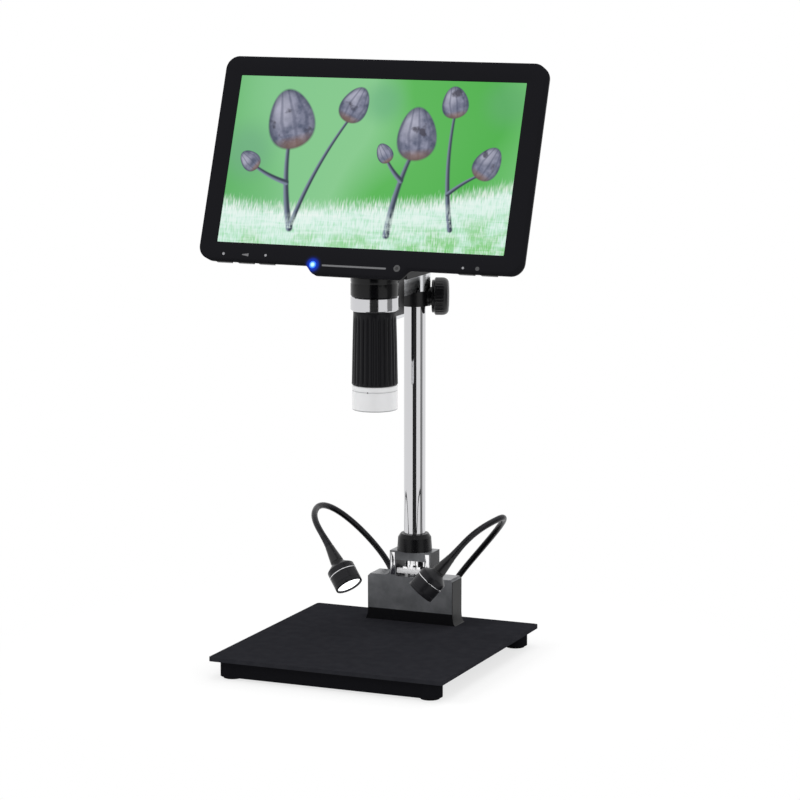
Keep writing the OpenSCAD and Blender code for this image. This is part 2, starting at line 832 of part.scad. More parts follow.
module ring_light_board() {
    color([0.9, 0.9, 0.88])
    on_column() translate([0, 0, guide_z + 1.5]) tube(guide_in_r, led_board_in_r, led_board_t);
}

module ring_leds() {
    color([0.95, 0.93, 0.75])
    on_column() for (i = [0:led_count - 1]) rotate([0, 0, 360 * i / led_count])
        translate([led_circle_r, 0, guide_z + 1.5 - led_h]) cylinder(r = led_r, h = led_h);
}

module clear_hood() {
    upper = hood_z + hood_h - guide_z;
    color([0.92, 0.93, 0.95, 0.6])
    on_column() {
        translate([0, 0, guide_z]) tube(hood_d / 2, guide_r + 0.02, upper);
        translate([0, 0, hood_z]) tube(hood_d / 2, hood_d / 2 - 1.6, hood_h - upper);
    }
}

// ---------- display ----------
function corner_arc(x, y, r, from) =
    [for (a = [from:15:from + 90]) [x + r * cos(a), y + r * sin(a)]];

module case_outline(inset) {
    x = case_w / 2 - case_corner;
    low = case_low + inset;
    low_y = case_low + case_corner;
    high_y = case_high - case_corner;
    r = case_corner - inset;
    half = chin_half - inset;
    chin_right = [[half - chin_end, low - chin_drop], [half - chin_end / 2, low - chin_drop * 0.75],
        [half, low]];
    chin_left = [[-half, low], [chin_end / 2 - half, low - chin_drop * 0.75],
        [chin_end - half, low - chin_drop]];
    polygon(concat(corner_arc(x, high_y, r, 0), corner_arc(-x, high_y, r, 90),
        corner_arc(-x, low_y, r, 180), chin_left, chin_right, corner_arc(x, low_y, r, 270)));
}

module key_slots(grow) {
    for (x = key_x) translate([x - key_w / 2 - grow, key_y - key_t / 2 - grow, case_low - 1])
        cube([key_w + 2 * grow, key_t + 2 * grow, case_wall + 2]);
}

module display_frame() {
    color([0.1, 0.1, 0.105])
    on_display() difference() {
        slab(0, frame_t) case_outline(0);
        slab(-1, frame_t + 2) translate([-picture_w / 2, -picture_h / 2])
            square([picture_w, picture_h]);
        slab(picture_set, frame_t) case_outline(case_wall);
        key_slots(0.15);
        translate([status_x, -1, case_low - 0.5]) along_y(status_r, 4);
    }
}

module bulge_outline(inset) {
    translate([-bulge_w / 2 + inset, bulge_low + inset])
        round_rect(bulge_w - 2 * inset, bulge_high - bulge_low - 2 * inset, bulge_corner - inset);
}

module display_rear_cover() {
    color([0.07, 0.07, 0.075])
    on_display() difference() {
        union() {
            slab(frame_t, case_t - frame_t) case_outline(0);
            slab(case_t - 0.5, bulge_t + 0.5) bulge_outline(0);
        }
        slab(frame_t - 1, case_t - frame_t - cover_skin + 1) case_outline(case_wall);
        slab(frame_t, case_t + bulge_t - frame_t - cover_skin) bulge_outline(cover_skin);
    }
}

module display_panel() {
    color([0.3, 0.75, 0.35])
    on_display() slab(picture_set, panel_t)
        translate([-picture_w / 2 - panel_rim, -picture_h / 2 - panel_rim])
            square([picture_w + 2 * panel_rim, picture_h + 2 * panel_rim]);
}

module main_board() {
    post = case_t - cover_skin - picture_set - panel_t;
    w = bulge_w - 30;
    h = bulge_high - bulge_low - 20;
    color([0.05, 0.25, 0.12])
    on_display() translate([0, 0, bulge_low + 10]) {
        translate([-w / 2, case_t - cover_skin - board_t, 0]) cube([w, board_t, h]);
        for (x = [-w / 2 + 5, w / 2 - 11], z = [4, h - 10])
            translate([x, case_t - cover_skin - 0.1, z])
                cube([6, bulge_t + 0.1, 6]);
        translate([-12, picture_set + panel_t, h / 2 - 12]) cube([24, post - board_t + 0.1, 24]);
    }
}

module key_board() {
    color([0.05, 0.25, 0.12])
    on_display() {
        board_u = case_low + case_wall + key_flange + key_travel + gap;
        translate([key_x[0] - key_w / 2, picture_set, board_u])
            cube([key_x[4] - key_x[0] + key_w, frame_t - picture_set, board_t]);
    }
}

module key(i) {
    color([0.12, 0.12, 0.13])
    on_display() translate([key_x[i], key_y, case_low]) {
        translate([-key_w / 2, -key_t / 2, -key_out])
            cube([key_w, key_t, key_out + case_wall + 0.1]);
        translate([-key_w / 2 - 0.8, -key_t / 2, case_wall + 0.1])
            cube([key_w + 1.6, key_t, key_flange - 0.1]);
    }
}

module key_power() { key(0); }
module key_menu() { key(1); }
module key_down() { key(2); }
module key_up() { key(3); }
module key_photo() { key(4); }

module status_light() {
    color([0.1, 0.35, 1])
    on_display() translate([status_x, 0, case_low - 0.5]) along_y(status_r - 0.05, 3);
}

module hinge_brackets() {
    plate_u = hinge_u - hinge_r;
    color([0.3, 0.3, 0.32])
    on_display() both_sides() translate([ear_x + ear_w + gap, 0, 0]) difference() {
        union() {
            translate([0, hinge_w, hinge_u]) along_x(hinge_r, hinge_bracket_w);
            translate([0, case_t, plate_u]) cube([hinge_bracket_w, hinge_plate_t, hinge_plate_l]);
            translate([0, case_t, plate_u]) cube([hinge_bracket_w, hinge_w - case_t, 2 * hinge_r]);
        }
        translate([-1, hinge_w, hinge_u]) along_x(pin_r + run_fit, hinge_bracket_w + 2);
    }
}

// ---------- lamps, drawn for the right side ----------
module socket() {
    color([0.6, 0.61, 0.63]) {
        translate([socket_x, cover_front - 3, socket_z])
            along_y(socket_stem_r, rear_cover_t + 3.1);
        translate([socket_x, cover_front - 2.6, socket_z]) along_y(socket_stem_r + 2, 2.6);
        difference() {
            translate([socket_x, bracket_back, socket_z]) along_y(socket_d / 2, socket_h);
            translate(socket_end) sphere(r = goose_r + gap);
            translate(socket_end - [0, socket_mouth_l, 0]) along_y(socket_mouth_r, 2 * socket_mouth_l);
        }
    }
}

module neck(route) { color([0.25, 0.25, 0.26]) swept_tube(route, goose_r); }

module lamp() {
    front = lamp_front_l;
    sleeve_end = lamp_rear_l + lamp_sleeve_l - goose_r;
    color([0.05, 0.05, 0.055])
    on_lamp() difference() {
        union() {
            translate([0, 0, -front]) cylinder(r = lamp_r, h = front - lamp_ring_l / 2);
            translate([0, 0, -lamp_ring_l]) cylinder(r = lamp_r - 1, h = 2 * lamp_ring_l);
            rotate_extrude() polygon([[0, lamp_ring_l / 2], [lamp_r, lamp_ring_l / 2],
                [lamp_r, lamp_rear_l - lamp_shoulder_l], [lamp_sleeve_d / 2, lamp_rear_l],
                [goose_r + 1, sleeve_end], [0, sleeve_end]]);
            translate([0, 0, sleeve_end - 0.2])
                cylinder(r = goose_r * 0.6, h = goose_r * 0.6);
            translate([0, 0, lamp_rear_l + lamp_sleeve_l]) sphere(r = goose_r);
        }
        translate([0, 0, -front - 1]) cylinder(r = lamp_bore_r, h = lamp_cup + 1);
    }
}

module lamp_ring() {
    color([0.75, 0.75, 0.77])
    on_lamp() translate([0, 0, -lamp_ring_l / 2]) tube(lamp_r + 0.05, lamp_r - 1, lamp_ring_l);
}

module lamp_led() {
    color([0.95, 0.93, 0.7])
    on_lamp() translate([0, 0, lamp_cup - lamp_front_l]) {
        translate([0, 0, -1.2]) cylinder(r = lamp_bore_r - 0.2, h = 1.2);
        translate([0, 0, -2.4]) cylinder(r = 2.5, h = 1.3);
    }
}

module lamp_lens() {
    color([0.9, 0.95, 1, 0.5])
    on_lamp() translate([0, 0, lamp_lens_set - lamp_front_l]) {
        cylinder(r = lamp_bore_r - 0.05, h = 1.6);
    }
}

module socket_left() { mirror([1, 0, 0]) socket(); }
module socket_right() { socket(); }
module neck_lower_left() { mirror([1, 0, 0]) neck(lower_route(crown_left, on_left)); }
module neck_lower_right() { neck(lower_route(crown_right, on_right)); }
module neck_upper_left() { mirror([1, 0, 0]) neck(upper_route(crown_left, back_left)); }
module neck_upper_right() { neck(upper_route(crown_right, back_right)); }
module lamp_left() { mirror([1, 0, 0]) lamp(); }
module lamp_right() { lamp(); }
module lamp_ring_left() { mirror([1, 0, 0]) lamp_ring(); }
module lamp_ring_right() { lamp_ring(); }
module lamp_led_left() { mirror([1, 0, 0]) lamp_led(); }
module lamp_led_right() { lamp_led(); }
module lamp_lens_left() { mirror([1, 0, 0]) lamp_lens(); }
module lamp_lens_right() { lamp_lens(); }

base_plate();
foot_rail_front();
foot_rail_rear();
rubber_pads();
base_screws();
pillar_bracket();
bracket_rear_cover();
control_board();
power_inlet();
dimmer_knob();
pillar();
pillar_nut();
pillar_collar();
pillar_cap();
pillar_liner();
lock_sleeve();
lock_knob();
lock_screw();
carriage_arm();
arm_screws();
head_housing();
head_cover();
hinge_pins();
sensor_board();
neck_tube();
bright_ring();
guide_tube();
focus_grip();
lens_cell();
objective_lens();
ring_light_board();
ring_leds();
clear_hood();
display_frame();
display_rear_cover();
display_panel();
main_board();
key_board();
status_light();
hinge_brackets();
key_power();
key_menu();
key_down();
key_up();
key_photo();
socket_left();
socket_right();
neck_lower_left();
neck_lower_right();
neck_upper_left();
neck_upper_right();
lamp_left();
lamp_right();
lamp_ring_left();
lamp_ring_right();
lamp_led_left();
lamp_led_right();
lamp_lens_left();
lamp_lens_right();
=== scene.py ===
"""Looks of a digital microscope: wide display, lens column, pillar stand and neck lamps."""
import json
import math

import bmesh
import bpy
from mathutils import Matrix, Vector


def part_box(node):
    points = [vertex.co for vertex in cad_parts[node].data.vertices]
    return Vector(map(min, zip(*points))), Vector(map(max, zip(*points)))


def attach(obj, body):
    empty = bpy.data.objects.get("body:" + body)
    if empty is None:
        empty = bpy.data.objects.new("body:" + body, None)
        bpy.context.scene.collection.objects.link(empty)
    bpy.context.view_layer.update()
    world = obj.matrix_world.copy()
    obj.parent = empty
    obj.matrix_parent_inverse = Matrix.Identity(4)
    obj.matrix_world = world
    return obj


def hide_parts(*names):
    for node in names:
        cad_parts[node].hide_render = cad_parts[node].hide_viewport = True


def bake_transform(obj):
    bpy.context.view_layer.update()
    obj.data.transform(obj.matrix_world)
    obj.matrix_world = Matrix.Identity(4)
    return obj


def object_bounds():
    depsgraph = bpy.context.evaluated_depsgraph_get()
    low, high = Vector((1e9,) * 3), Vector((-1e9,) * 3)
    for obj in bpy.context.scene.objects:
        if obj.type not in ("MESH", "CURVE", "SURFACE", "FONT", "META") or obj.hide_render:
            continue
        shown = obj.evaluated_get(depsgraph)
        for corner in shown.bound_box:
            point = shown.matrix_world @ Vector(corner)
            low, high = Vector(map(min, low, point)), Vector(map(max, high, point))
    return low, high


bl_info = {
    "name": "Digital microscope looks",
    "version": (1, 0, 0),
    "blender": (4, 5, 0),
    "location": "3D View > Sidebar > Microscope",
    "description": "Finishes and details for a digital microscope on a pillar stand",
    "category": "Object",
}

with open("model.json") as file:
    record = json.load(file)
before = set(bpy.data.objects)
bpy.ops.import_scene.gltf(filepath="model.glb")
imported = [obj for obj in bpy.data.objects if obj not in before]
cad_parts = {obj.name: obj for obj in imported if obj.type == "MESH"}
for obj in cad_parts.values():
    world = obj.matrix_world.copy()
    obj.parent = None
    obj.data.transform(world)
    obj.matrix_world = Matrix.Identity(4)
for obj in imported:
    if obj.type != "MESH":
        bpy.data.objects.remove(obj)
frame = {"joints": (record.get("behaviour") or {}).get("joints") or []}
cad_low, cad_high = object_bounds()

MM = 0.001
DISPLAY_TILT = math.radians(20.2)


# ---------- places worked out from the frame ----------
def low(node):
    return Vector(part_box(node)[0])


def high(node):
    return Vector(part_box(node)[1])


def middle(node):
    return (low(node) + high(node)) / 2


def tall(node):
    return high(node).z - low(node).z


def joint(name):
    return next(each for each in frame["joints"] if each["name"] == name)


def joint_point(name):
    return Vector(joint(name)["pos_m"])


def joint_axis(name):
    return Vector(joint(name)["axis"]).normalized()


COLUMN = middle("bright_ring")
HINGE = joint_point("display_tilt")


# ---------- settings a user would change ----------
class MicroscopeSizes(bpy.types.PropertyGroup):
    """Sizes of the pieces that are made here, in metres."""
    case_width: bpy.props.FloatProperty(
        name="Case width", description="Width of the display case",
        default=cad_high[0] - cad_low[0], unit="LENGTH")
    case_height: bpy.props.FloatProperty(
        name="Case height", description="Height of the display case without its chin",
        default=0.153, unit="LENGTH")
    case_rise: bpy.props.FloatProperty(
        name="Case rise", description="How far the case's middle lies above the picture's middle",
        default=0.0008, unit="LENGTH")
    case_depth: bpy.props.FloatProperty(
        name="Case depth", description="Thickness of the case at its edges",
        default=0.0105, unit="LENGTH")
    frame_depth: bpy.props.FloatProperty(
        name="Frame depth", description="Thickness of the front frame",
        default=0.0065, unit="LENGTH")
    case_corner: bpy.props.FloatProperty(
        name="Case corner", description="Corner radius of the case", default=0.010, unit="LENGTH")
    chin_half: bpy.props.FloatProperty(
        name="Chin half width", description="Half of the chin's width", default=0.041,
        unit="LENGTH")
    chin_drop: bpy.props.FloatProperty(
        name="Chin drop", description="How far the chin hangs below the case",
        default=0.007, unit="LENGTH")
    picture_width: bpy.props.FloatProperty(
        name="Picture width", description="Width of the lit picture", default=0.2227,
        unit="LENGTH")
    picture_height: bpy.props.FloatProperty(
        name="Picture height", description="Height of the lit picture", default=0.1253,
        unit="LENGTH")
    flutes: bpy.props.IntProperty(
        name="Grip flutes", description="Number of flutes round the focus grip", default=26, min=8)
    knob_ribs: bpy.props.IntProperty(
        name="Knob ribs", description="Number of ribs round the lock knob", default=36, min=8)
    neck_radius: bpy.props.FloatProperty(
        name="Neck radius", description="Radius of a gooseneck", default=0.0024, unit="LENGTH")


class MicroscopeColours(bpy.types.PropertyGroup):
    """Colours of the finishes."""
    case: bpy.props.FloatVectorProperty(
        name="Case", description="Satin black of the display's front frame", subtype="COLOR",
        size=4, default=(0.0135, 0.0135, 0.0160, 1), min=0, max=1)
    plate: bpy.props.FloatVectorProperty(
        name="Base plate", description="Powder coat of the base plate", subtype="COLOR",
        size=4, default=(0.0205, 0.0208, 0.0250, 1), min=0, max=1)
    plastic: bpy.props.FloatVectorProperty(
        name="Plastic", description="Moulded black plastic", subtype="COLOR",
        size=4, default=(0.0050, 0.0050, 0.0060, 1), min=0, max=1)
    casting: bpy.props.FloatVectorProperty(
        name="Casting", description="Grey casting of bracket and arm", subtype="COLOR",
        size=4, default=(0.16, 0.165, 0.175, 1), min=0, max=1)
    lamp: bpy.props.FloatVectorProperty(
        name="Lamp", description="Anodised black of the lamps", subtype="COLOR",
        size=4, default=(0.0180, 0.0180, 0.0205, 1), min=0, max=1)
    backdrop: bpy.props.FloatVectorProperty(
        name="Backdrop", description="Floor and backdrop", subtype="COLOR",
        size=4, default=(1.0, 1.0, 1.0, 1), min=0, max=1)


def sizes():
    return bpy.context.scene.microscope_sizes


def colours():
    return bpy.context.scene.microscope_colours


# ---------- mesh helpers ----------
def linked(name, data):
    """A new object in the scene."""
    obj = bpy.data.objects.new(name, data)
    bpy.context.scene.collection.objects.link(obj)
    return obj


def mesh_from(name, bm):
    """The bmesh as mesh data."""
    mesh = bpy.data.meshes.new(name)
    bm.to_mesh(mesh)
    bm.free()
    return mesh


def lathe(points, segments, closed=False, radius_at=None):
    """A mesh turned about z from (radius, height) points; radius_at(angle, r, z) may vary it."""
    bm = bmesh.new()
    rings = []
    for r, z in points:
        if r < 1e-7:
            rings.append([bm.verts.new((0, 0, z))] * segments)
            continue
        ring = []
        for k in range(segments):
            a = 2 * math.pi * k / segments
            rr = radius_at(a, r, z) if radius_at else r
            ring.append(bm.verts.new((rr * math.cos(a), rr * math.sin(a), z)))
        rings.append(ring)
    pairs = list(zip(rings, rings[1:]))
    if closed:
        pairs.append((rings[-1], rings[0]))
    for lower, upper in pairs:
        for k in range(segments):
            n = (k + 1) % segments
            corners = [lower[k], lower[n], upper[n], upper[k]]
            corners = [v for i, v in enumerate(corners) if v not in corners[:i]]
            if len(corners) > 2:
                bm.faces.new(corners)
    bmesh.ops.recalc_face_normals(bm, faces=bm.faces)
    return bm


def profile(*points):
    """(radius, height) points given in millimetres."""
    return [(r * MM, z * MM) for r, z in points]


def swept(points, radii, sides):
    """A capped tube through the points, with a radius at each."""
    bm = bmesh.new()
    tangents = []
    for i in range(len(points)):
        a, b = points[max(i - 1, 0)], points[min(i + 1, len(points) - 1)]
        tangents.append((b - a).normalized())
    normal = tangents[0].orthogonal().normalized()
    rings = []
    for p, d, r in zip(points, tangents, radii):
        normal = (normal - d * normal.dot(d)).normalized()
        across = d.cross(normal)
        rings.append([bm.verts.new(p + r * (math.cos(2 * math.pi * k / sides) * normal
                                            + math.sin(2 * math.pi * k / sides) * across))
                      for k in range(sides)])
    for lower, upper in zip(rings, rings[1:]):
        for k in range(sides):
            n = (k + 1) % sides
            bm.faces.new([lower[k], lower[n], upper[n], upper[k]])
    bm.faces.new(list(reversed(rings[0])))
    bm.faces.new(rings[-1])
    bmesh.ops.recalc_face_normals(bm, faces=bm.faces)
    return bm


def shifted(bm, vec):
    """The mesh, moved by vec."""
    bmesh.ops.translate(bm, vec=vec, verts=bm.verts)
    return bm


def moved(bm, matrix):
    bmesh.ops.transform(bm, matrix=matrix, verts=bm.verts)
    return bm


def box_mesh(size, centre, bevel):
    """A box with rounded edges."""
    bm = bmesh.new()
    bmesh.ops.create_cube(bm, size=1)
    bmesh.ops.scale(bm, vec=size, verts=bm.verts)
    bmesh.ops.bevel(bm, geom=list(bm.edges) + list(bm.verts), offset=bevel, segments=2,
                    profile=0.5, affect="EDGES")
    return shifted(bm, centre)


def merged(*meshes):
    """One bmesh from several."""
    target = meshes[0]
    for bm in meshes[1:]:
        mesh = mesh_from("part", bm)
        target.from_mesh(mesh)
        bpy.data.meshes.remove(mesh)
    return target


def piece(name, bm, body, material, slot_name, replaced=(), smooth_angle=35):
    """A named object from the mesh, riding on a body, in place of the CAD nodes it replaces."""
    mesh = mesh_from(name, bm)
    obj = linked(name, mesh)
    mesh.materials.append(material)
    mesh.shade_smooth()
    mesh.set_sharp_from_angle(angle=math.radians(smooth_angle))
    if body:
        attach(obj, body)
    if replaced:
        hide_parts(*replaced)
    return obj


def on_display():
    """From the display's own frame (x across, y up the face, z out of it) to the row frame."""
    size = sizes()
    across = Matrix.Rotation(math.radians(90), 4, "X")
    lean = Matrix.Rotation(-DISPLAY_TILT, 4, "X")
    depth = size.case_depth + 0.006
    rise = size.case_rise - size.case_height / 2 + 0.0057
    back = Vector((0, math.cos(DISPLAY_TILT), -math.sin(DISPLAY_TILT)))
    up = Vector((0, math.sin(DISPLAY_TILT), math.cos(DISPLAY_TILT)))
    return Matrix.Translation(HINGE - back * depth - up * rise) @ lean @ across


def case_outline(inset):
    """The display case's outline with its chin."""
    size = sizes()
    half, r = size.case_width / 2 - inset, size.case_corner - inset
    low_y = size.case_rise - size.case_height / 2 + inset
    high_y = size.case_rise + size.case_height / 2 - inset
    points = []
    for x, y, start in ((half - r, high_y - r, 0), (r - half, high_y - r, 90),
                        (r - half, low_y + r, 180), (half - r, low_y + r, 270)):
        if start == 270:
            points += chin_points(low_y, inset)
        for k in range(13):
            a = math.radians(start + 7.5 * k)
            points.append((x + r * math.cos(a), y + r * math.sin(a)))
    return points


def chin_points(low_y, inset):
    """The chin's S-shaped shoulders and flat bottom, left to right."""
    size = sizes()
    half, run, drop = size.chin_half - inset, 0.009, size.chin_drop
    left = []
    for k in range(13):
        t = k / 12
        left.append((-half + run * t, low_y - drop * (t * t * (3 - 2 * t))))
    return left + [(-x, y) for x, y in reversed(left)]


def layered(outer, inner=()):
    """A closed mesh from stacked outlines, back to front; the inner stack is a hole through it."""
    bm = bmesh.new()
    ends = ([], [])
    for stack in (outer, inner):
        rows = [[bm.verts.new((x, y, z)) for x, y in outline] for outline, z in stack]
        for back, front in zip(rows, rows[1:]):
            for k in range(len(back)):
                n = (k + 1) % len(back)
                bm.faces.new((back[k], back[n], front[n], front[k]))
        if rows:
            ends[0].append(rows[0])
            ends[1].append(rows[-1])
    for loops in ends:
        edges = []
        for loop in loops:
            for k in range(len(loop)):
                pair = (loop[k], loop[(k + 1) % len(loop)])
                edges.append(bm.edges.get(pair) or bm.edges.new(pair))
        bmesh.ops.triangle_fill(bm, use_beauty=True, edges=edges)
    bmesh.ops.recalc_face_normals(bm, faces=bm.faces)
    return bm


def quarter(radius, z_edge, direction, outline):
    """Rings of a rounded edge: outline(inset) from the side wall to the face at z_edge."""
    rings = []
    for k in range(6):
        a = math.radians(18 * k)
        rings.append((outline(radius * (1 - math.cos(a))),
                      z_edge - direction * radius * (1 - math.sin(a))))
    return rings


def rectangle(width, height, corner, centre=(0, 0)):
    """A rectangle's outline with round corners, as a function of its inset."""
    def outline(inset):
        r = max(corner - inset, 0.0)
        x, y = width / 2 - inset - r, height / 2 - inset - r
        points = []
        for sx, sy, start in ((1, 1, 0), (-1, 1, 90), (-1, -1, 180), (1, -1, 270)):
            for k in range(7):
                a = math.radians(start + 15 * k)
                points.append((centre[0] + sx * x + r * math.cos(a),
                               centre[1] + sy * y + r * math.sin(a)))
        return points
    return outline


def carved(bm, cutter):
    """The mesh with the cutter's volume taken away."""
    objs = [linked("carve", mesh_from("carve", part)) for part in (bm, cutter)]
    cut = objs[0].modifiers.new("cut", "BOOLEAN")
    cut.object = objs[1]
    cut.solver = "EXACT"
    bpy.context.view_layer.update()
    graph = bpy.context.evaluated_depsgraph_get()
    result = bmesh.new()
    result.from_object(objs[0], graph)
    for obj in objs:
        mesh = obj.data
        bpy.data.objects.remove(obj)
        bpy.data.meshes.remove(mesh)
    return result


def disc(radius, depth, place, sides=24):
    """A short round plug along z, its back face at place, with a rounded front edge."""
    edge = depth * 0.3
    return shifted(lathe([(0, 0), (radius, 0), (radius, depth - edge), (radius - edge, depth),
                          (0, depth)], sides), place)


# ---------- shader helpers ----------
def sum_by(operation, swapped=False):
    """The method behind an operator sign: it adds a Math node."""
    def method(self, other):
        return self.n.math(operation, *((other, self) if swapped else (self, other)))
    return method


class Flow:
    """A node's output that takes part in sums such as 1.0 - a * b."""
    __add__, __radd__ = sum_by("ADD"), sum_by("ADD", True)
    __sub__, __rsub__ = sum_by("SUBTRACT"), sum_by("SUBTRACT", True)
    __mul__, __truediv__, __pow__ = sum_by("MULTIPLY"), sum_by("DIVIDE"), sum_by("POWER")

    def __init__(self, n, socket):
        self.n, self.socket = n, socket

    def __abs__(self):
        return self.n.math("ABSOLUTE", self)


class Nodes:
    """A short way to add and link shader nodes in a tree."""

    def __init__(self, tree):
        self.tree = tree

    def give(self, socket, value):
        """Link a node's output to the socket, or set a plain value."""
        if isinstance(value, Flow):
            self.tree.links.new(value.socket, socket)
        else:
            socket.default_value = value

    def node(self, kind, settings=None, **inputs):
        made = self.tree.nodes.new("ShaderNode" + kind)
        for name, value in (settings or {}).items():
            setattr(made, name, value)
        for name, value in inputs.items():
            self.give(self.pick(made, name), value)
        return made

    @staticmethod
    def pick(node, name):
        """The input called name, or numbered by it, as in i2."""
        if name.startswith("i") and name[1:].isdigit():
            return node.inputs[int(name[1:])]
        wanted = name.replace("_", " ").lower()
        return next(s for s in node.inputs if s.enabled and s.name.lower() == wanted)

    def add(self, kind, settings=None, out=0, **inputs):
        """A new node's output."""
        return Flow(self, self.node(kind, settings, **inputs).outputs[out])

    def math(self, operation, a, b=0.0, clamp=False):
        return self.add("Math", {"operation": operation, "use_clamp": clamp}, i0=a, i1=b)

    def larger(self, a, b):
        return self.math("MAXIMUM", a, b)

    def root(self, a):
        return self.math("SQRT", a)

    def mix(self, factor, a, b):
        return self.add("Mix", {"data_type": "RGBA"}, 2, i0=factor, i6=a, i7=b)

    def ramp(self, factor, stops):
        node = self.node("ValToRGB", i0=factor)
        elements = node.color_ramp.elements
        while len(elements) < len(stops):
            elements.new(0.5)
        for element, (place, colour) in zip(elements, stops):
            element.position = place
            element.color = colour
        return Flow(self, node.outputs[0])

    def spread(self, value, low, high, out_low=0.0, out_high=1.0, smooth=False):
        settings = {"interpolation_type": "SMOOTHSTEP"} if smooth else {}
        return self.add("MapRange", settings, i0=value, i1=low, i2=high, i3=out_low, i4=out_high)

    def noise(self, scale, detail=2.0, vector=None, **more):
        """Noise over the object, or over another vector."""
        return self.add("TexNoise", vector=vector or self.object_place(), scale=scale,
                        detail=detail, **more)

    def distance(self, a, b):
        return self.add("VectorMath", {"operation": "DISTANCE"}, "Value", i0=a, i1=b)

    def end(self, kind, value):
        """The tree's output node, fed with the value."""
        self.give(self.node("Output" + kind).inputs[0], value)

    def object_place(self):
        return self.add("TexCoord", out="Object")

    def split(self, vector):
        return [Flow(self, s) for s in self.node("SeparateXYZ", i0=vector).outputs]


def new_group(name, inputs, outputs):
    """A shader node group with named float or colour sockets."""
    group = bpy.data.node_groups.new(name, "ShaderNodeTree")
    for sockets, way in ((inputs, "INPUT"), (outputs, "OUTPUT")):
        for socket_name, kind, value in sockets:
            socket = group.interface.new_socket(socket_name, in_out=way,
                                                socket_type="NodeSocket" + kind)
            if value is not None:
                socket.default_value = value
    n = Nodes(group)
    given = {s.name: Flow(n, s) for s in group.nodes.new("NodeGroupInput").outputs}
    return group, n, given, group.nodes.new("NodeGroupOutput").inputs


def paint_finish():
    """Powder coat or moulded grain: a height, a roughness and a colour that vary a little."""
    group, n, given, result = new_group(
        "Paint finish",
        [("Colour", "Color", (0.02, 0.02, 0.02, 1)), ("Roughness", "Float", 0.4),
         ("Grain", "Float", 900.0), ("Variation", "Float", 0.12)],
        [("Colour", "Color", None), ("Roughness", "Float", None), ("Height", "Float", None)])
    place = n.object_place()
    fine = n.noise(given["Grain"], 3.0, place)
    spread = (n.noise(18.0, 4.0, place) - 0.5) * given["Variation"]
    n.give(result["Colour"], n.add("HueSaturation", color=given["Colour"], value=spread + 1.0))
    rough = (fine - 0.5) * given["Variation"]
    n.give(result["Roughness"], given["Roughness"] + spread * 0.6 + rough * 0.5)
    n.give(result["Height"], fine)
    return group


def edge_wear():
    """A mask that is brighter where the surface is convex, broken up by noise."""
    group, n, given, result = new_group(
        "Edge wear", [("Amount", "Float", 0.4), ("Scale", "Float", 120.0)],
        [("Mask", "Float", None)])
    edges = n.spread(n.add("NewGeometry", out="Pointiness"), 0.51, 0.58)
    mask = edges * n.spread(n.noise(given["Scale"], 5.0), 0.35, 0.7)
    n.give(result["Mask"], n.math("MULTIPLY", mask, given["Amount"], clamp=True))
    return group


def turned_lines():
    """Fine lines across z, for turned or drawn metal."""
    group, n, given, result = new_group(
        "Turned lines", [("Lines", "Float", 4000.0), ("Depth", "Float", 0.3)],
        [("Height", "Float", None), ("Streak", "Float", None)])
    x, y, z = n.split(n.object_place())
    stretched = n.add("CombineXYZ", x=x * 8.0, y=y * 8.0, z=z * given["Lines"])
    streak = n.noise(1.0, 4.0, stretched)
    n.give(result["Height"], streak * given["Depth"])
    n.give(result["Streak"], streak)
    return group


GROUP_MAKERS = {"Paint finish": paint_finish, "Edge wear": edge_wear, "Turned lines": turned_lines}
GROUPS = {}


def use(n, name, **inputs):
    """The outputs, by name, of a shared node group, which is built at its first use."""
    node = n.tree.nodes.new("ShaderNodeGroup")
    if name not in GROUPS:
        GROUPS[name] = GROUP_MAKERS[name]()
    node.node_tree = GROUPS[name]
    for key, value in inputs.items():
        n.give(node.inputs[key], value)
    return {s.name: Flow(n, s) for s in node.outputs}


def opened(made):
    """A material's node helper and its Principled shader."""
    shader = next(x for x in made.node_tree.nodes if x.type == "BSDF_PRINCIPLED")
    return Nodes(made.node_tree), shader


def material(name, **constants):
    """A new material with a Principled shader; returns it, its node helper and the shader."""
    made = bpy.data.materials.new(name)
    made.use_nodes = True
    n, shader = opened(made)
    feed(n, shader, **constants)
    return made, n, shader


def feed(n, shader, **values):
    for key, value in values.items():
        n.give(shader.inputs[key.replace("_", " ")], value)


def fed(n, shader, name):
    """What is linked to the shader's input so far."""
    return Flow(n, shader.inputs[name].links[0].from_socket)


def bump(n, height, strength, distance=0.0001):
    return n.add("Bump", strength=strength, distance=distance, height=height)


# ---------- materials ----------
def coated(name, colour, roughness, grain=900.0, depth=0.15, variation=0.12, wear=0.0,
           wear_colour=(0.25, 0.25, 0.26, 1), **constants):
    """Paint, powder coat or moulded plastic."""
    made, n, shader = material(name, **constants)
    paint = use(n, "Paint finish", Colour=tuple(colour), Roughness=roughness, Grain=grain,
                Variation=variation)
    base = paint["Colour"]
    if wear:
        base = n.mix(use(n, "Edge wear", Amount=wear)["Mask"], base, wear_colour)
    feed(n, shader, Base_Color=base, Roughness=paint["Roughness"],
         Normal=bump(n, paint["Height"], depth))
    return made


def metal(name, colour, roughness, lines=4000.0, depth=0.1, stain=0.12):
    """Turned, drawn or plated metal."""
    made, n, shader = material(name, Metallic=1.0)
    turned = use(n, "Turned lines", Lines=lines, Depth=depth)
    darker = tuple(c * (1 - stain) for c in colour[:3]) + (1,)
    feed(n, shader, Base_Color=n.mix(n.noise(40.0, 5.0), colour, darker),
         Roughness=n.spread(turned["Streak"], 0.3, 0.7, roughness * 0.8, roughness * 1.25),
         Normal=bump(n, turned["Height"], 0.12, 0.00003))
    return made


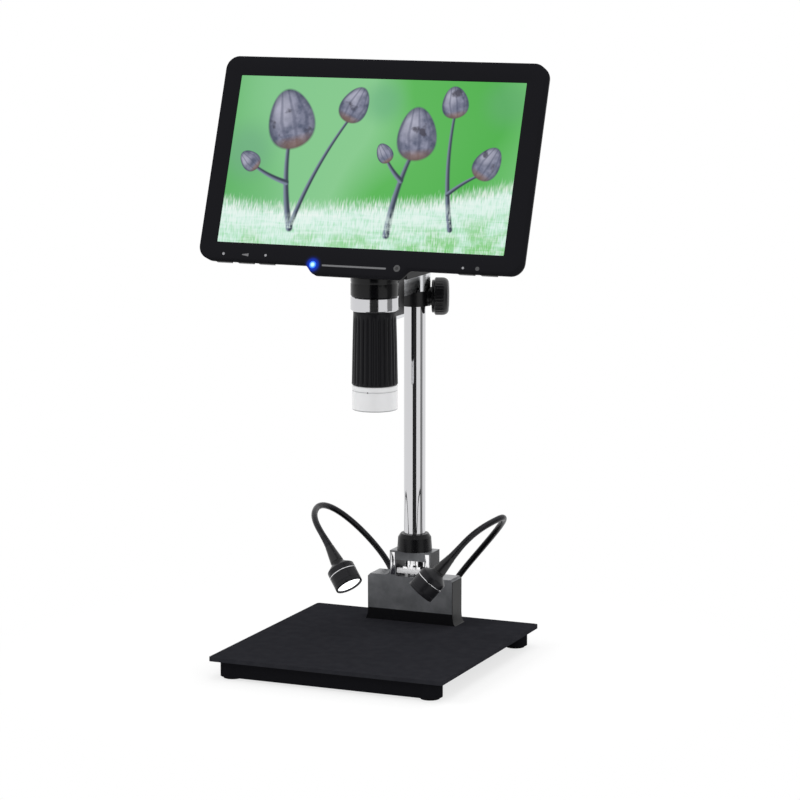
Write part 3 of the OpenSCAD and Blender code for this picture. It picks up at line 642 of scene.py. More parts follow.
def finish_nodes(table):
    """Give carried-over nodes their (material, width of rounded edge)."""
    for node, (made, edge) in table.items():
        obj = bpy.data.objects[node]
        obj.data.materials.clear()
        obj.data.materials.append(made)
        if edge:
            soft = obj.modifiers.new("soft_edges", "BEVEL")
            soft.width = edge
            soft.segments = 3
            soft.limit_method = "ANGLE"
            soft.angle_limit = math.radians(40)
            soft.harden_normals = True


# ---------- operators ----------
class MICROSCOPE_OT_base(bpy.types.Operator):
    """Base plate, foot rails, rubber pads and screws"""
    bl_idname = "microscope.base"
    bl_label = "Base and feet"

    def execute(self, context):
        plate = coated("plate_black", colours().plate, 0.4, 1500.0, 0.1, 0.02, wear=0.02,
                       Specular_IOR_Level=0.0)
        rail = coated("rail_black", (0.0085, 0.0085, 0.0102, 1), 0.45, 1200.0, 0.15, 0.05,
                      Specular_IOR_Level=0.0)
        pad = coated("pad_rubber", (0.006, 0.006, 0.006, 1), 0.8, 2500.0, 0.5,
                     Specular_IOR_Level=0.1)
        screw = metal("screw_steel", (0.55, 0.55, 0.57, 1), 0.3)
        finish_nodes({
            "base_plate": (plate, 0.7 * MM), "foot_rail_front": (rail, 0.6 * MM),
            "foot_rail_rear": (rail, 0.6 * MM), "rubber_pads": (pad, 0.3 * MM),
            "base_screws": (screw, 0.2 * MM)})
        return {"FINISHED"}


class MICROSCOPE_OT_stand(bpy.types.Operator):
    """Pillar bracket, its cover, board, inlet and dimmer knob"""
    bl_idname = "microscope.stand"
    bl_label = "Pillar bracket"

    def execute(self, context):
        half = high("pillar_bracket").x - 2.5 * MM
        foot = low("pillar_bracket").z + 9 * MM
        cast = casting((half - 0.5 * MM, half - 0.3 * MM), (foot, foot - 0.4 * MM))
        cover = coated("cover_black", (0.015, 0.015, 0.016, 1), 0.45)
        board = coated("board_green", (0.01, 0.06, 0.025, 1), 0.35)
        inlet = metal("inlet_steel", (0.6, 0.6, 0.62, 1), 0.25)
        knob = coated("knob_black", colours().plastic, 0.35)
        finish_nodes({
            "pillar_bracket": (cast, 0.8 * MM), "bracket_rear_cover": (cover, 0.3 * MM),
            "control_board": (board, 0), "power_inlet": (inlet, 0.1 * MM),
            "dimmer_knob": (knob, 0.6 * MM)})
        return {"FINISHED"}


def casting(black_from, black_below):
    """Painted silver-grey casting: a little metallic, with a fine pebbled coat."""
    made = coated("bracket_cast", colours().casting, 0.34, 1300.0, 0.2, 0.05, 0.2,
                  (0.5, 0.51, 0.53, 1), Coat_Roughness=0.25, Specular_IOR_Level=0.1)
    n, shader = opened(made)
    # the sides and the foot are darkened to near black
    out, _, up = n.split(n.object_place())
    black = n.larger(n.spread(abs(out), *black_from), n.spread(up, *black_below))
    base = n.mix(black, fed(n, shader, "Base Color"), (0.006, 0.006, 0.007, 1))
    # painted shade: the tower's own sides, facing across, are darkened as if in shade
    facing = n.split(n.add("TexCoord", out="Normal"))[0]
    shoulder = high("pillar_bracket").z - 19 * MM
    tower_shade = n.spread(abs(facing), 0.5, 0.8) * n.spread(up, shoulder, shoulder + 0.3 * MM)
    bare = 1.0 - n.larger(black, tower_shade)
    feed(n, shader, Base_Color=n.mix(tower_shade * 0.88, base, (0.02, 0.02, 0.022, 1)),
         Metallic=bare * 0.55, Coat_Weight=bare * 0.3)
    return made


class MICROSCOPE_OT_pillar(bpy.types.Operator):
    """Chrome pillar with its nut, collar, cap and liner"""
    bl_idname = "microscope.pillar"
    bl_label = "Pillar"

    def execute(self, context):
        chrome = metal("pillar_chrome", (0.64, 0.64, 0.655, 1), 0.06, 900.0, 0.05, 0.03)
        nut = metal("nut_chrome", (0.97, 0.97, 0.98, 1), 0.14, 900.0, 0.05, 0.02)
        black = coated("collar_black", colours().plastic, 0.28, Specular_IOR_Level=0.2)
        nylon = coated("liner_nylon", (0.01, 0.01, 0.01, 1), 0.5, Specular_IOR_Level=0.2)
        self.cheeks(nut)
        finish_nodes({
            "pillar": (chrome, 0.2 * MM), "pillar_nut": (nut, 0.4 * MM),
            "pillar_collar": (black, 0.5 * MM), "pillar_cap": (black, 1.2 * MM),
            "pillar_liner": (nylon, 0)})
        return {"FINISHED"}

    def cheeks(self, made):
        """Bare metal strips on the bracket's face, either side of its window."""
        front = low("pillar_bracket").y
        foot, top = low("pillar_nut").z - 1.5 * MM, high("pillar_bracket").z - 1.2 * MM
        for side, x in (("left", -14 * MM), ("right", 14 * MM)):
            bm = box_mesh((3.6 * MM, 0.8 * MM, top - foot),
                          (x, front + 0.25 * MM, (top + foot) / 2), 0.25 * MM)
            piece(f"cheek_{side}", bm, "stand", made, "steel")


class MICROSCOPE_OT_head(bpy.types.Operator):
    """Head housing behind the display, with its hinge"""
    bl_idname = "microscope.head"
    bl_label = "Head"

    def execute(self, context):
        shell = coated("head_black", (0.012, 0.012, 0.014, 1), 0.42, 1100.0, 0.2, 0.04,
                       Specular_IOR_Level=0.12)
        board = coated("sensor_green", (0.01, 0.05, 0.02, 1), 0.35)
        pin = metal("pin_steel", (0.6, 0.6, 0.62, 1), 0.25)
        hinge = metal("hinge_steel", (0.2, 0.2, 0.21, 1), 0.35)
        finish_nodes({
            "head_housing": (shell, 1.2 * MM), "head_cover": (shell, 0.5 * MM),
            "sensor_board": (board, 0), "hinge_pins": (pin, 0.2 * MM),
            "hinge_brackets": (hinge, 0.3 * MM)})
        return {"FINISHED"}


# ---------- lens column and carriage ----------
# in millimetres: the radius of the hole through the column's rings, how far the hood's groove
# lies below its top, and the lock knob's length
BORE, HOOD_GROOVE, KNOB_LENGTH = 14.65, 3.8, 12.4


def column_place(node):
    """The lens axis at the height of a node's underside."""
    return Matrix.Translation((COLUMN.x, COLUMN.y, low(node).z))


class MICROSCOPE_OT_column(bpy.types.Operator):
    """Lens column: neck, bright ring, fluted grip, hood, lens and ring light"""
    bl_idname = "microscope.column"
    bl_label = "Lens column"

    def execute(self, context):
        inner = coated("inner_black", (0.01, 0.01, 0.01, 1), 0.7)
        board = coated("ring_board_white", (0.75, 0.75, 0.73, 1), 0.5)
        self.neck(tall("neck_tube") / MM)
        self.ring(tall("bright_ring") / MM)
        self.grip(tall("focus_grip") / MM)
        self.hood(tall("clear_hood") / MM)
        finish_nodes({
            "guide_tube": (inner, 0), "lens_cell": (inner, 0),
            "objective_lens": (lens_glass(), 0.2 * MM), "ring_light_board": (board, 0),
            "ring_leds": (glowing("ring_led_glow", (1.0, 0.95, 0.85, 1), 1.0), 0.2 * MM)})
        return {"FINISHED"}

    def put(self, name, bm, node, made, slot_name, body="carriage", smooth_angle=35):
        """A turned piece on the lens axis, at the height of the node it stands for."""
        piece(name, moved(bm, column_place(node)), body, made, slot_name, [node], smooth_angle)

    def neck(self, top):
        r = 17.5
        bm = lathe(profile(
            (BORE, 0), (r - 0.4, 0), (r, 0.4), (r, top * 0.62), (r - 0.25, top * 0.66),
            (r - 0.25, top * 0.70), (r, top * 0.74), (r, top - 0.3), (r - 0.3, top),
            (BORE, top)), 128, closed=True)
        gloss = coated("neck_gloss", (0.003, 0.003, 0.004, 1), 0.2, 300.0, 0.02, 0.05,
                       Specular_IOR_Level=0.22, Coat_Weight=0.08, Coat_Roughness=0.08)
        self.put("neck", bm, "neck_tube", gloss, "tube_black")

    def ring(self, top):
        r = 17.6
        bm = lathe(profile(
            (BORE, 0), (r - 1.2, 0), (r - 0.9, 0.2), (r - 0.35, 0.7), (r, 1.1), (r, top - 1.1),
            (r - 0.35, top - 0.7), (r - 0.9, top - 0.2), (r - 1.2, top), (BORE, top)),
            160, closed=True)
        chrome = metal("ring_chrome", (0.62, 0.62, 0.64, 1), 0.1, 3500.0, 0.05, 0.04)
        self.put("column_ring", bm, "bright_ring", chrome, "chrome")

    def grip(self, top):
        """The focus grip: bellied, fluted between its plain rims."""
        count = sizes().flutes
        lip, bore, plain = 15.2, BORE + 0.01, 3.4

        def fluted(angle, r, z):
            if r < lip * MM:
                return r
            fade = min(max(((top - plain) * MM - z) / (1.2 * MM), 0.0), 1.0)
            fade *= min(max((z - 0.8 * MM) / (0.8 * MM), 0.0), 1.0)
            wave = abs(math.sin(angle * count / 2)) ** 0.7
            return r - 0.75 * MM * fade * (1 - wave)

        belly = [(16.8 - 1.25 * t ** 0.8 + 0.15 * math.sin(math.pi * t), 0.6 + (top - 1.2) * t)
                 for t in (k / 32 for k in range(33))]
        bm = lathe(profile((bore, 0), (15.6, 0), (16.5, 0.25), *belly, (15.45, top - 0.3),
                           (lip, top), (bore, top)), count * 12, closed=True, radius_at=fluted)
        rubber = coated("grip_black", (0.0080, 0.0080, 0.0098, 1), 0.34, 1500.0, 0.12, 0.06,
                        Specular_IOR_Level=0.13)
        self.put("grip", bm, "focus_grip", rubber, "grip_black", "focus", 50)

    def hood(self, top):
        """The clear hood with its groove and a small index mark."""
        r, inside, shelf, bore = 16.5, 15.0, 11, BORE - 0.01
        groove = top - HOOD_GROOVE
        bm = lathe(profile(
            (inside + 0.3, 0), (r - 0.5, 0), (r - 0.12, 0.2), (r, 0.8), (r, groove - 0.3),
            (r - 0.4, groove - 0.2), (r - 0.4, groove + 0.2), (r, groove + 0.3), (r, top - 0.5),
            (r - 0.4, top), (bore, top), (bore, shelf), (inside, shelf - 0.6), (inside, 0.4)),
            128, closed=True)
        self.put("hood", bm, "clear_hood", hood_plastic(), "hood_clear")
        dot = disc(0.5 * MM, 0.12 * MM, (0, 0, 0), 16)
        turn = Matrix.Rotation(math.radians(5), 4, "Z") @ Matrix.Translation(
            (0, (0.03 - r) * MM, groove * MM)) @ Matrix.Rotation(math.radians(90), 4, "X")
        mark = coated("index_mark", (0.03, 0.03, 0.03, 1), 0.5)
        piece("index_mark", moved(dot, column_place("clear_hood") @ turn), "carriage", mark,
              "tube_black")


def lens_glass():
    """Objective glass with a faint coating."""
    made, n, shader = material("objective_glass", Metallic=0.0, Transmission_Weight=1.0, IOR=1.6,
                               Coat_Weight=0.6)
    noise = n.noise(60.0)
    feed(n, shader, Base_Color=n.mix(noise, (0.8, 0.88, 1.0, 1), (0.9, 0.85, 1.0, 1)),
         Roughness=n.spread(noise, 0.0, 1.0, 0.0, 0.03))
    return made


def hood_plastic():
    """Frosted clear plastic, milky white in studio light."""
    made, n, shader = material("hood_frosted", IOR=1.45, Transmission_Weight=0.08,
                               Specular_IOR_Level=0.5)
    noise = n.noise(120.0)
    milky = n.mix(noise, (0.99, 0.99, 1.0, 1), (0.95, 0.955, 0.97, 1))
    # painted shade: its bottom edge and groove are darkened grey
    up, foot, top = n.split(n.object_place())[2], low("clear_hood").z, high("clear_hood").z
    edge = n.spread(up, foot + 1.0 * MM, foot + 0.2 * MM)
    groove = n.spread(abs(up - (top - HOOD_GROOVE * MM)), 0.4 * MM, 0.15 * MM, 0.0, 0.35)
    feed(n, shader, Base_Color=n.mix(n.larger(edge, groove), milky, (0.16, 0.165, 0.18, 1)),
         Roughness=n.spread(noise, 0.0, 1.0, 0.2, 0.3), Normal=bump(n, noise, 0.04))
    return made


def glowing(name, colour, strength):
    """A lit lamp face with a faint grain."""
    made, n, shader = material(name, Emission_Strength=strength, Roughness=0.4)
    tone = n.mix(n.noise(500.0), colour, tuple(c * 0.8 for c in colour[:3]) + (1,))
    feed(n, shader, Base_Color=tone, Emission_Color=tone)
    return made


class MICROSCOPE_OT_carriage(bpy.types.Operator):
    """Carriage arm, lock sleeve and lock knob"""
    bl_idname = "microscope.carriage"
    bl_label = "Carriage"

    def execute(self, context):
        arm = block_darkened(metal("arm_polished", (0.75, 0.76, 0.78, 1), 0.2, 600.0, 0.1, 0.1))
        black = coated("sleeve_black", colours().plastic, 0.32, Specular_IOR_Level=0.3)
        screw = metal("arm_steel", (0.55, 0.55, 0.57, 1), 0.3)
        axis = joint_axis("lock_turn")
        place = (Matrix.Translation(middle("lock_knob") - axis * KNOB_LENGTH * MM / 2)
                 @ axis.to_track_quat("Z", "Y").to_matrix().to_4x4())
        self.knob(black, place)
        self.boss(black, place)
        finish_nodes({
            "carriage_arm": (arm, 0.9 * MM), "lock_sleeve": (black, 0.3 * MM),
            "arm_screws": (screw, 0.2 * MM), "lock_screw": (screw, 0)})
        return {"FINISHED"}

    def boss(self, made, place):
        """Stepped boss that closes the gap between the sleeve and the knob."""
        bm = lathe(profile((3.2, -3.6), (7.4, -3.6), (7.4, -1.6), (6.9, -1.2), (6.9, -0.25),
                           (3.2, -0.25)), 48, closed=True)
        piece("lock_boss", moved(bm, place), "carriage", made, "black_plastic")

    def knob(self, made, place):
        """The lock knob, ribbed round its rim."""
        count, r, top = sizes().knob_ribs, 14, KNOB_LENGTH
        ribs_low, ribs_high = 2.6 * MM, 9.6 * MM

        def ribbed(angle, radius, z):
            if radius < 12.5 * MM or z < ribs_low or z > ribs_high:
                return radius
            fade = min((z - ribs_low) / (0.8 * MM), (ribs_high - z) / (1.0 * MM), 1.0)
            return radius - 0.2 * MM * fade * (0.5 - 0.5 * math.cos(angle * count))

        crown = [(10.2 + 3.8 * math.cos(a), 7.8 + 4.6 * math.sin(a))
                 for a in (math.radians(90 * k / 7) for k in range(1, 8))]
        bm = lathe(profile(
            (0, 0), (11.6, 0), (12.2, 0.4), (12.2, 1.8), (13.2, 2.1), (r, 2.7), (r, 3.4), (r, 4.5),
            (r, 5.6), (r, 6.7), (r, 7.6), *crown, (8.8, top), (8.4, top - 0.35), (4, top - 0.5),
            (0, top - 0.5)), count * 6, radius_at=ribbed)
        piece("knob", moved(bm, place), "lock", made, "black_plastic", ["lock_knob"], 50)


def block_darkened(made):
    """The metal, darkened to near black on the block behind the lens column down to its milled
    foot.
    """
    n, shader = opened(made)
    _, y, z = n.split(n.object_place())
    back, foot = COLUMN.y + 35.7 * MM, low("carriage_arm").z + 2.4 * MM
    block = n.spread(y, back, back - 0.1 * MM) * n.spread(z, foot, foot + 0.1 * MM)
    feed(n, shader, Base_Color=n.mix(block, fed(n, shader, "Base Color"), (0.02, 0.02, 0.022, 1)))
    return made


# ---------- display ----------
def picture_material():
    """A lit picture: soft green distance, a pale downy bank and blue-grey pods on their stems."""
    made, n, shader = material("picture_lit", Roughness=0.16, Specular_IOR_Level=0.25,
                               Emission_Strength=0.92, Base_Color=(0.004, 0.004, 0.004, 1))
    place = n.object_place()
    x, y, _ = n.split(place)
    # soft distance: pale on the left, strong green on the right, with broad blurred patches
    blur = n.noise(9.0, 1.0, place)
    picture = n.ramp(n.spread(x, -0.111, 0.111, 0.0, 0.75) + blur * 0.4, [
        (0.18, (0.12, 0.48, 0.14, 1)), (0.36, (0.23, 0.60, 0.27, 1)),
        (0.52, (0.25, 0.62, 0.28, 1)), (0.66, (0.10, 0.49, 0.095, 1)),
        (0.86, (0.075, 0.46, 0.07, 1)), (0.97, (0.16, 0.56, 0.17, 1))])
    for cx, cy, r, tone in ((-0.098, 0.006, 0.020, (0.16, 0.42, 0.24, 1)),
                            (0.004, 0.046, 0.015, (0.14, 0.44, 0.22, 1)),
                            (0.100, 0.048, 0.018, (0.12, 0.42, 0.16, 1))):
        soft = n.spread(n.distance(place, (cx, cy, 0)), r * 1.5, r * 0.3, smooth=True)
        picture = n.mix(soft * 0.6, picture, tone)
    # pale downy bank along the bottom, its edge frayed by fine fibres
    edge = abs(x + 0.045) ** 2.0 * 0.9 - (y + 0.034) + (blur - 0.5) * 0.012
    leaning = n.add("Mapping", vector=place, rotation=(0, 0, 0.9), scale=(900.0, 150.0, 1.0))
    fibre = n.noise(1.0, 2.0, leaning)
    bank = n.spread(edge + (fibre - 0.5) * 0.018, -0.006, 0.008, smooth=True)
    combed = n.add("Mapping", vector=place, rotation=(0, 0, -0.4), scale=(45.0, 330.0, 1.0))
    streak = n.noise(1.0, 3.0, combed, distortion=0.8)
    mottled = n.noise(60.0, 5.0, place)
    hair = (streak * 0.3 + mottled * 0.25 + fibre * 0.45
            + n.spread(edge, 0.0, 0.030, 0.05, -0.04, smooth=True))
    down = n.ramp(hair, [
        (0.34, (0.44, 0.80, 0.52, 1)), (0.43, (0.62, 0.90, 0.74, 1)),
        (0.51, (0.76, 0.95, 0.88, 1)), (0.62, (0.93, 1.0, 0.97, 1))])
    patch = (n.spread(edge, 0.012, 0.034, smooth=True)
             * n.spread(mottled, 0.40, 0.60, smooth=True))
    down = n.mix(patch * 0.8, down, (0.16, 0.60, 0.12, 1))
    picture = n.mix(bank * 0.94, picture, down)
    # stems and pods, drawn from simple round and long shapes
    for x0, y0, x1, y1, width in (
            (-0.056, -0.050, -0.066, 0.018, 0.0026), (-0.056, -0.050, -0.020, 0.034, 0.0019),
            (-0.0637, -0.0164, -0.092, -0.004, 0.0020), (0.020, -0.052, 0.032, 0.010, 0.0027),
            (0.0254, -0.0116, 0.012, 0.004, 0.0020), (0.068, -0.046, 0.060, 0.038, 0.0020),
            (0.0627, -0.0203, 0.088, -0.004, 0.0016)):
        line, lit = stroke(n, x, y, x0, y0, x1, y1, width)
        tone = n.mix(lit, (0.030, 0.045, 0.075, 1), (0.20, 0.24, 0.34, 1))
        picture = n.mix(line, picture, tone)
    grain = n.spread(n.noise(170.0, 5.0, place), 0.35, 0.65)
    spots = n.spread(mottled, 0.60, 0.66) * 0.8
    for cx, cy, rx, ry, turn in (
            (-0.067, 0.031, 0.018, 0.023, 0.3), (-0.018, 0.043, 0.011, 0.014, -0.4),
            (-0.095, -0.001, 0.007, 0.009, 0.9), (0.033, 0.023, 0.015, 0.020, 0.1),
            (0.010, 0.008, 0.006, 0.008, 0.6), (0.059, 0.047, 0.010, 0.012, 0.2),
            (0.090, 0.003, 0.010, 0.013, -0.5)):
        mask, shade, rim, ridge, tip = pod(n, x, y, cx, cy, rx, ry, turn)
        skin = n.mix(grain, (0.09, 0.105, 0.17, 1), (0.26, 0.27, 0.37, 1))
        for share, tone in ((shade * 0.6, (0.56, 0.56, 0.68, 1)),
                            (ridge * 0.5, (0.07, 0.08, 0.14, 1)), (spots, (0.035, 0.03, 0.05, 1)),
                            (tip * 0.7, (0.38, 0.17, 0.05, 1)),
                            (rim * 0.75, (0.03, 0.045, 0.08, 1))):
            skin = n.mix(share, skin, tone)
        picture = n.mix(mask, picture, skin)
    # fibres stand in front of the stems' feet
    front = n.spread(edge, 0.004, 0.016) * n.spread(hair, 0.46, 0.58)
    feed(n, shader, Emission_Color=n.mix(front * 0.7, picture, (0.78, 0.96, 0.88, 1)))
    return made


def stroke(n, x, y, x0, y0, x1, y1, width):
    """Masks along a stem from one point to the other: inside, and its lit side."""
    dx, dy = x1 - x0, y1 - y0
    length2 = dx * dx + dy * dy
    px, py = x - x0, y - y0
    t = n.larger(px * (dx / length2) + py * (dy / length2), 0.0)
    t = n.math("MINIMUM", t, 1.0)
    # a stem bows a little to one side
    bow = t * (1.0 - t) * 0.16
    ox, oy = px - t * dx - bow * -dy, py - t * dy - bow * dx
    away = n.root(ox * ox + oy * oy)
    lit = n.spread((ox * dy - oy * dx) * (1 / math.sqrt(length2)), width * 0.2, -width * 0.5)
    slim = width * 1.25 + t * (-width * 0.5)
    return n.spread(slim - away, 0.0, width * 0.5), lit


def pod(n, x, y, cx, cy, rx, ry, turn):
    """Masks of an oval seed pod: inside, lit side, dark rim, ridges and foot."""
    c, s = math.cos(turn), math.sin(turn)
    px, py = x - cx, y - cy
    u, v = px * (c / rx) + py * (s / rx), px * (-s / ry) + py * (c / ry)
    # pods narrow towards their tip
    u = u * (1.0 + v * 0.22)
    r = n.root(u * u + v * v)
    lit_u, lit_v = u + 0.35, v - 0.4
    lit = n.root(lit_u * lit_u + lit_v * lit_v)
    ridge = n.spread(n.math("SINE", u / (1.25 + abs(v) * -0.55) * 14.0), 0.35, 1.0)
    return (n.spread(r, 1.03, 0.95), n.spread(lit, 0.9, 0.1, smooth=True),
            n.spread(r, 0.74, 1.02), ridge, n.spread(v, -0.55, -0.95))


def case_finish(name, colour, roughness, glow_at=None):
    """Satin black case; round the status light it carries a painted glow that the case itself
    emits.
    """
    made = coated(name, colour, roughness, 1700.0, 0.1, 0.08,
                  Specular_IOR_Level=0.0 if glow_at else 0.06)
    n, shader = opened(made)
    # the underside is dull
    facing = n.split(n.add("TexCoord", out="Normal"))[2]
    dull = n.spread(facing, -0.3, -0.7) * 0.9
    feed(n, shader, Roughness=n.larger(fed(n, shader, "Roughness"), dull))
    if glow_at:
        # painted glow: the frame emits a blue halo round the status light
        glow = n.spread(n.distance(n.object_place(), glow_at), 0.0075, 0.0028, smooth=True)
        painted_halo = n.ramp(glow, [(0.0, (0, 0, 0, 1)), (0.4, (0.0, 0.003, 0.05, 1)),
                             (1.0, (0.0, 0.03, 0.45, 1))])
        feed(n, shader, Emission_Strength=1.0, Emission_Color=painted_halo)
    return made


class MICROSCOPE_OT_display(bpy.types.Operator):
    """Display case, picture, marks, keys and status light"""
    bl_idname = "microscope.display"
    bl_label = "Display"

    def execute(self, context):
        size = sizes()
        self.place = on_display()
        case_low = size.case_rise - size.case_height / 2
        light_at = (-33 * MM, case_low - 0.5 * MM, 0.0)
        front = case_finish("frame_satin", colours().case, 0.34, light_at)
        rear = case_finish("rear_satin", colours().plastic, 0.42)
        board = coated("display_green", (0.01, 0.05, 0.02, 1), 0.35)
        key = coated("key_black", colours().plastic, 0.3, Specular_IOR_Level=0.3)
        self.front_frame(size, front)
        self.rear_cover(size, rear)
        self.picture(size)
        self.marks()
        self.light(light_at)
        finish_nodes({
            "main_board": (board, 0), "key_board": (board, 0),
            **{f"key_{k}": (key, 0.4 * MM) for k in ("power", "menu", "down", "up", "photo")}})
        return {"FINISHED"}

    def add(self, name, bm, made, slot_name, replaced=()):
        obj = piece(name, bm, None, made, slot_name, replaced)
        obj.matrix_world = self.place
        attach(obj, "display")
        return obj

    def front_frame(self, size, made):
        """The front frame round the picture, hollow behind."""
        back, wall = -size.frame_depth, case_outline(2.2 * MM)
        window = rectangle(size.picture_width, size.picture_height, 0.6 * MM)
        bm = layered([(case_outline(0.0), back)] + quarter(1.6 * MM, 0.0, 1, case_outline),
                     [(window(0.0), back), (window(0.0), -0.35 * MM),
                      (window(-0.1 * MM), -0.1 * MM), (window(-0.35 * MM), 0.0)])
        hollow = layered([(wall, back - MM), (wall, -0.8 * MM)])
        self.add("display_front", carved(bm, hollow), made, "frame_black", ["display_frame"])

    def rear_cover(self, size, made):
        """The rear cover with its slotted bulge and eight screws."""
        back, front = -size.case_depth, -size.frame_depth
        bulge_low, bulge_high, screw_in = -26 * MM, 50.3 * MM, 6 * MM
        lip = 0.25 * MM
        shell = layered(quarter(2.4 * MM, back, -1, case_outline)[::-1]
                        + [(case_outline(0.0), front - lip), (case_outline(lip), front - lip),
                           (case_outline(lip), front)])
        bulge = rectangle(0.150, bulge_high - bulge_low, 8 * MM,
                          (0, (bulge_low + bulge_high) / 2))
        hump = layered(quarter(3 * MM, back - 8 * MM, -1, bulge)[::-1]
                       + [(bulge(0.0), back + 0.5 * MM)])
        slots = [box_mesh((32 * MM, 1.5 * MM, 3 * MM),
                          (x, bulge_high - 12 * MM - row * 3.2 * MM, back - 8 * MM), 0.3 * MM)
                 for row in range(9) for x in (-0.045, 0.0, 0.045)]
        on_bulge = [(x, y) for x in (-0.068, 0.068)
                    for y in (bulge_low + screw_in, bulge_high - screw_in)]
        corners = [(x, y) for x in (-0.112, 0.112) for y in (-0.062, 0.066)]
        slots += [disc(2.4 * MM, 3 * MM, (x, y, back - 9.5 * MM)) for x, y in on_bulge]
        holes = [disc(2.4 * MM, 3 * MM, (x, y, back - 1.2 * MM)) for x, y in corners]
        shell, hump = carved(shell, merged(*holes)), carved(hump, merged(*slots))
        self.add("display_back", merged(shell, hump), made, "case_black", ["display_rear_cover"])
        heads = [disc(1.9 * MM, 1.2 * MM, (x, y, back + lift))
                 for places, lift in ((corners, 0.6 * MM), (on_bulge, -7.4 * MM))
                 for x, y in places]
        steel = metal("case_screw_dark", (0.05, 0.05, 0.055, 1), 0.35)
        self.add("case_screws", merged(*heads), steel, "steel")

    def picture(self, size):
        pane = rectangle(size.picture_width + 8 * MM, size.picture_height + 8 * MM, 1 * MM)
        bm = layered([(pane(0.0), -4.2 * MM), (pane(0.0), -0.9 * MM), (pane(0.1 * MM), -0.8 * MM)])
        self.add("lit_picture", bm, picture_material(), "picture", ["display_panel"])

    def marks(self):
        """Thin printed marks on the frame, and the sensor's window in its ring."""
        grey = coated("mark_grey", (0.35, 0.35, 0.37, 1), 0.4)
        dim = coated("mark_dim", (0.065, 0.065, 0.068, 1), 0.35)
        lens = coated("sensor_dark", (0.012, 0.012, 0.014, 1), 0.12, Coat_Weight=0.2)
        line_grey = coated("line_grey", (0.17, 0.17, 0.18, 1), 0.3)
        thick = 0.06 * MM

        def dot(radius, x, y):
            return disc(radius * MM, thick, (x * MM, y * MM, 0))

        bright = merged(dot(1.0, -104.6, -71.5), dot(0.95, -71.0, -71.2), dot(0.9, 82.2, -73.0))
        self.add("key_dots", bright, grey, "key_black")
        self.add("dim_dot", dot(1.5, 93.1, -73.0), dim, "key_black")
        line = rectangle(49.8 * MM, 1.3 * MM, 0.6 * MM, (-0.9 * MM, -76.35 * MM))
        bar = layered([(line(0.0), 0.0), (line(0.0), thick * 0.6), (line(0.15 * MM), thick)])
        self.add("front_line", bar, line_grey, "key_black")
        ends = profile((-89.7, -71.8), (-84.6, -72.6), (-84.6, -70.4), (-89.7, -71.2))
        self.add("key_wedge", layered([(ends, 0.0), (ends, thick)]), line_grey, "key_black")
        sensor = (32.3, -75.8)
        ring = lathe(profile((1.2, 0), (2.5, 0), (2.5, 0.06), (2.1, 0.12), (1.6, 0.12),
                             (1.2, 0.06)), 40, closed=True)
        shifted(ring, (sensor[0] * MM, sensor[1] * MM, 0))
        self.add("sensor_ring", ring, dim, "key_black")
        self.add("sensor_eye", dot(1.25, *sensor), lens, "key_black")

    def light(self, at):
        """The status light's lens, brightest in its middle."""
        made, n, shader = material("status_lit", Roughness=0.3, Emission_Strength=1.0)
        core = n.spread(n.distance(n.object_place(), at), 0.0032, 0.0006)
        tone = n.ramp(core, [(0.0, (0.0, 0.02, 0.42, 1)), (0.45, (0.02, 0.16, 0.85, 1)),
                             (1.0, (0.42, 0.74, 1.0, 1))])
        feed(n, shader, Base_Color=tone, Emission_Color=tone)
        bm = lathe(profile((0, -3), (2.9, -3), (2.9, -0.1), (2.4, 0.1), (1.5, 0.28), (0.7, 0.36),
                           (0, 0.4)), 40)
        self.add("status_lens", shifted(bm, at), made, "status_blue", ["status_light"])


# ---------- lamps ----------
# How each gooseneck runs, drawn for the right side: back from its crown towards the lamp, and on
# from its crown towards the socket
NECK_RUNS = {"left": ((3.8, 22.2, 3.1), (3.3, 34.5, 6.9)), "right": ((10, 28, 5), (9, 25, 4.5))}
NECK_END = (-3, 13, 6)
LAMP_LEAD = 14 * MM
NECK_STEP, NECK_PITCH = 0.32 * MM, 1.6 * MM


def bezier(points, t):
    """The point at t on a cubic curve."""
    a, b, c, d = points
    s = 1 - t
    return a * s ** 3 + b * 3 * s * s * t + c * 3 * s * t * t + d * t ** 3


def neck_route(side):
    """Points along a gooseneck, from inside its lamp's boot to inside its socket."""
    sign = -1 if side == "left" else 1
    crown, lamp_end, socket_end = (joint_point(f"{joint}_{side}")
                                   for joint in ("neck_bend", "lamp_aim", "neck_swing"))
    axis = (lamp_end - middle(f"lamp_ring_{side}")).normalized()

    def offset(numbers):
        return Vector((sign * numbers[0], numbers[1], numbers[2])) * MM

    back, on = NECK_RUNS[side]
    upper = (lamp_end, lamp_end + axis * LAMP_LEAD, crown - offset(back), crown)
    lower = (crown, crown + offset(on), socket_end + offset(NECK_END), socket_end)
    points = [lamp_end - axis * 2 * MM]
    for part, curve in enumerate((upper, lower)):
        length = sum((bezier(curve, k / 20) - bezier(curve, (k + 1) / 20)).length
                     for k in range(20))
        count = round(length / NECK_STEP)
        points += [bezier(curve, k / count) for k in range(part, count + 1)]
    return points + [socket_end - Vector((0, 1.4 * MM, 0))]


def lamp_place(side):
    """The lamp's own frame: its bright ring's middle, with z towards the gooseneck."""
    ring = middle(f"lamp_ring_{side}")
    axis = joint_point(f"lamp_aim_{side}") - ring
    return Matrix.Translation(ring) @ axis.to_track_quat("Z", "Y").to_matrix().to_4x4()


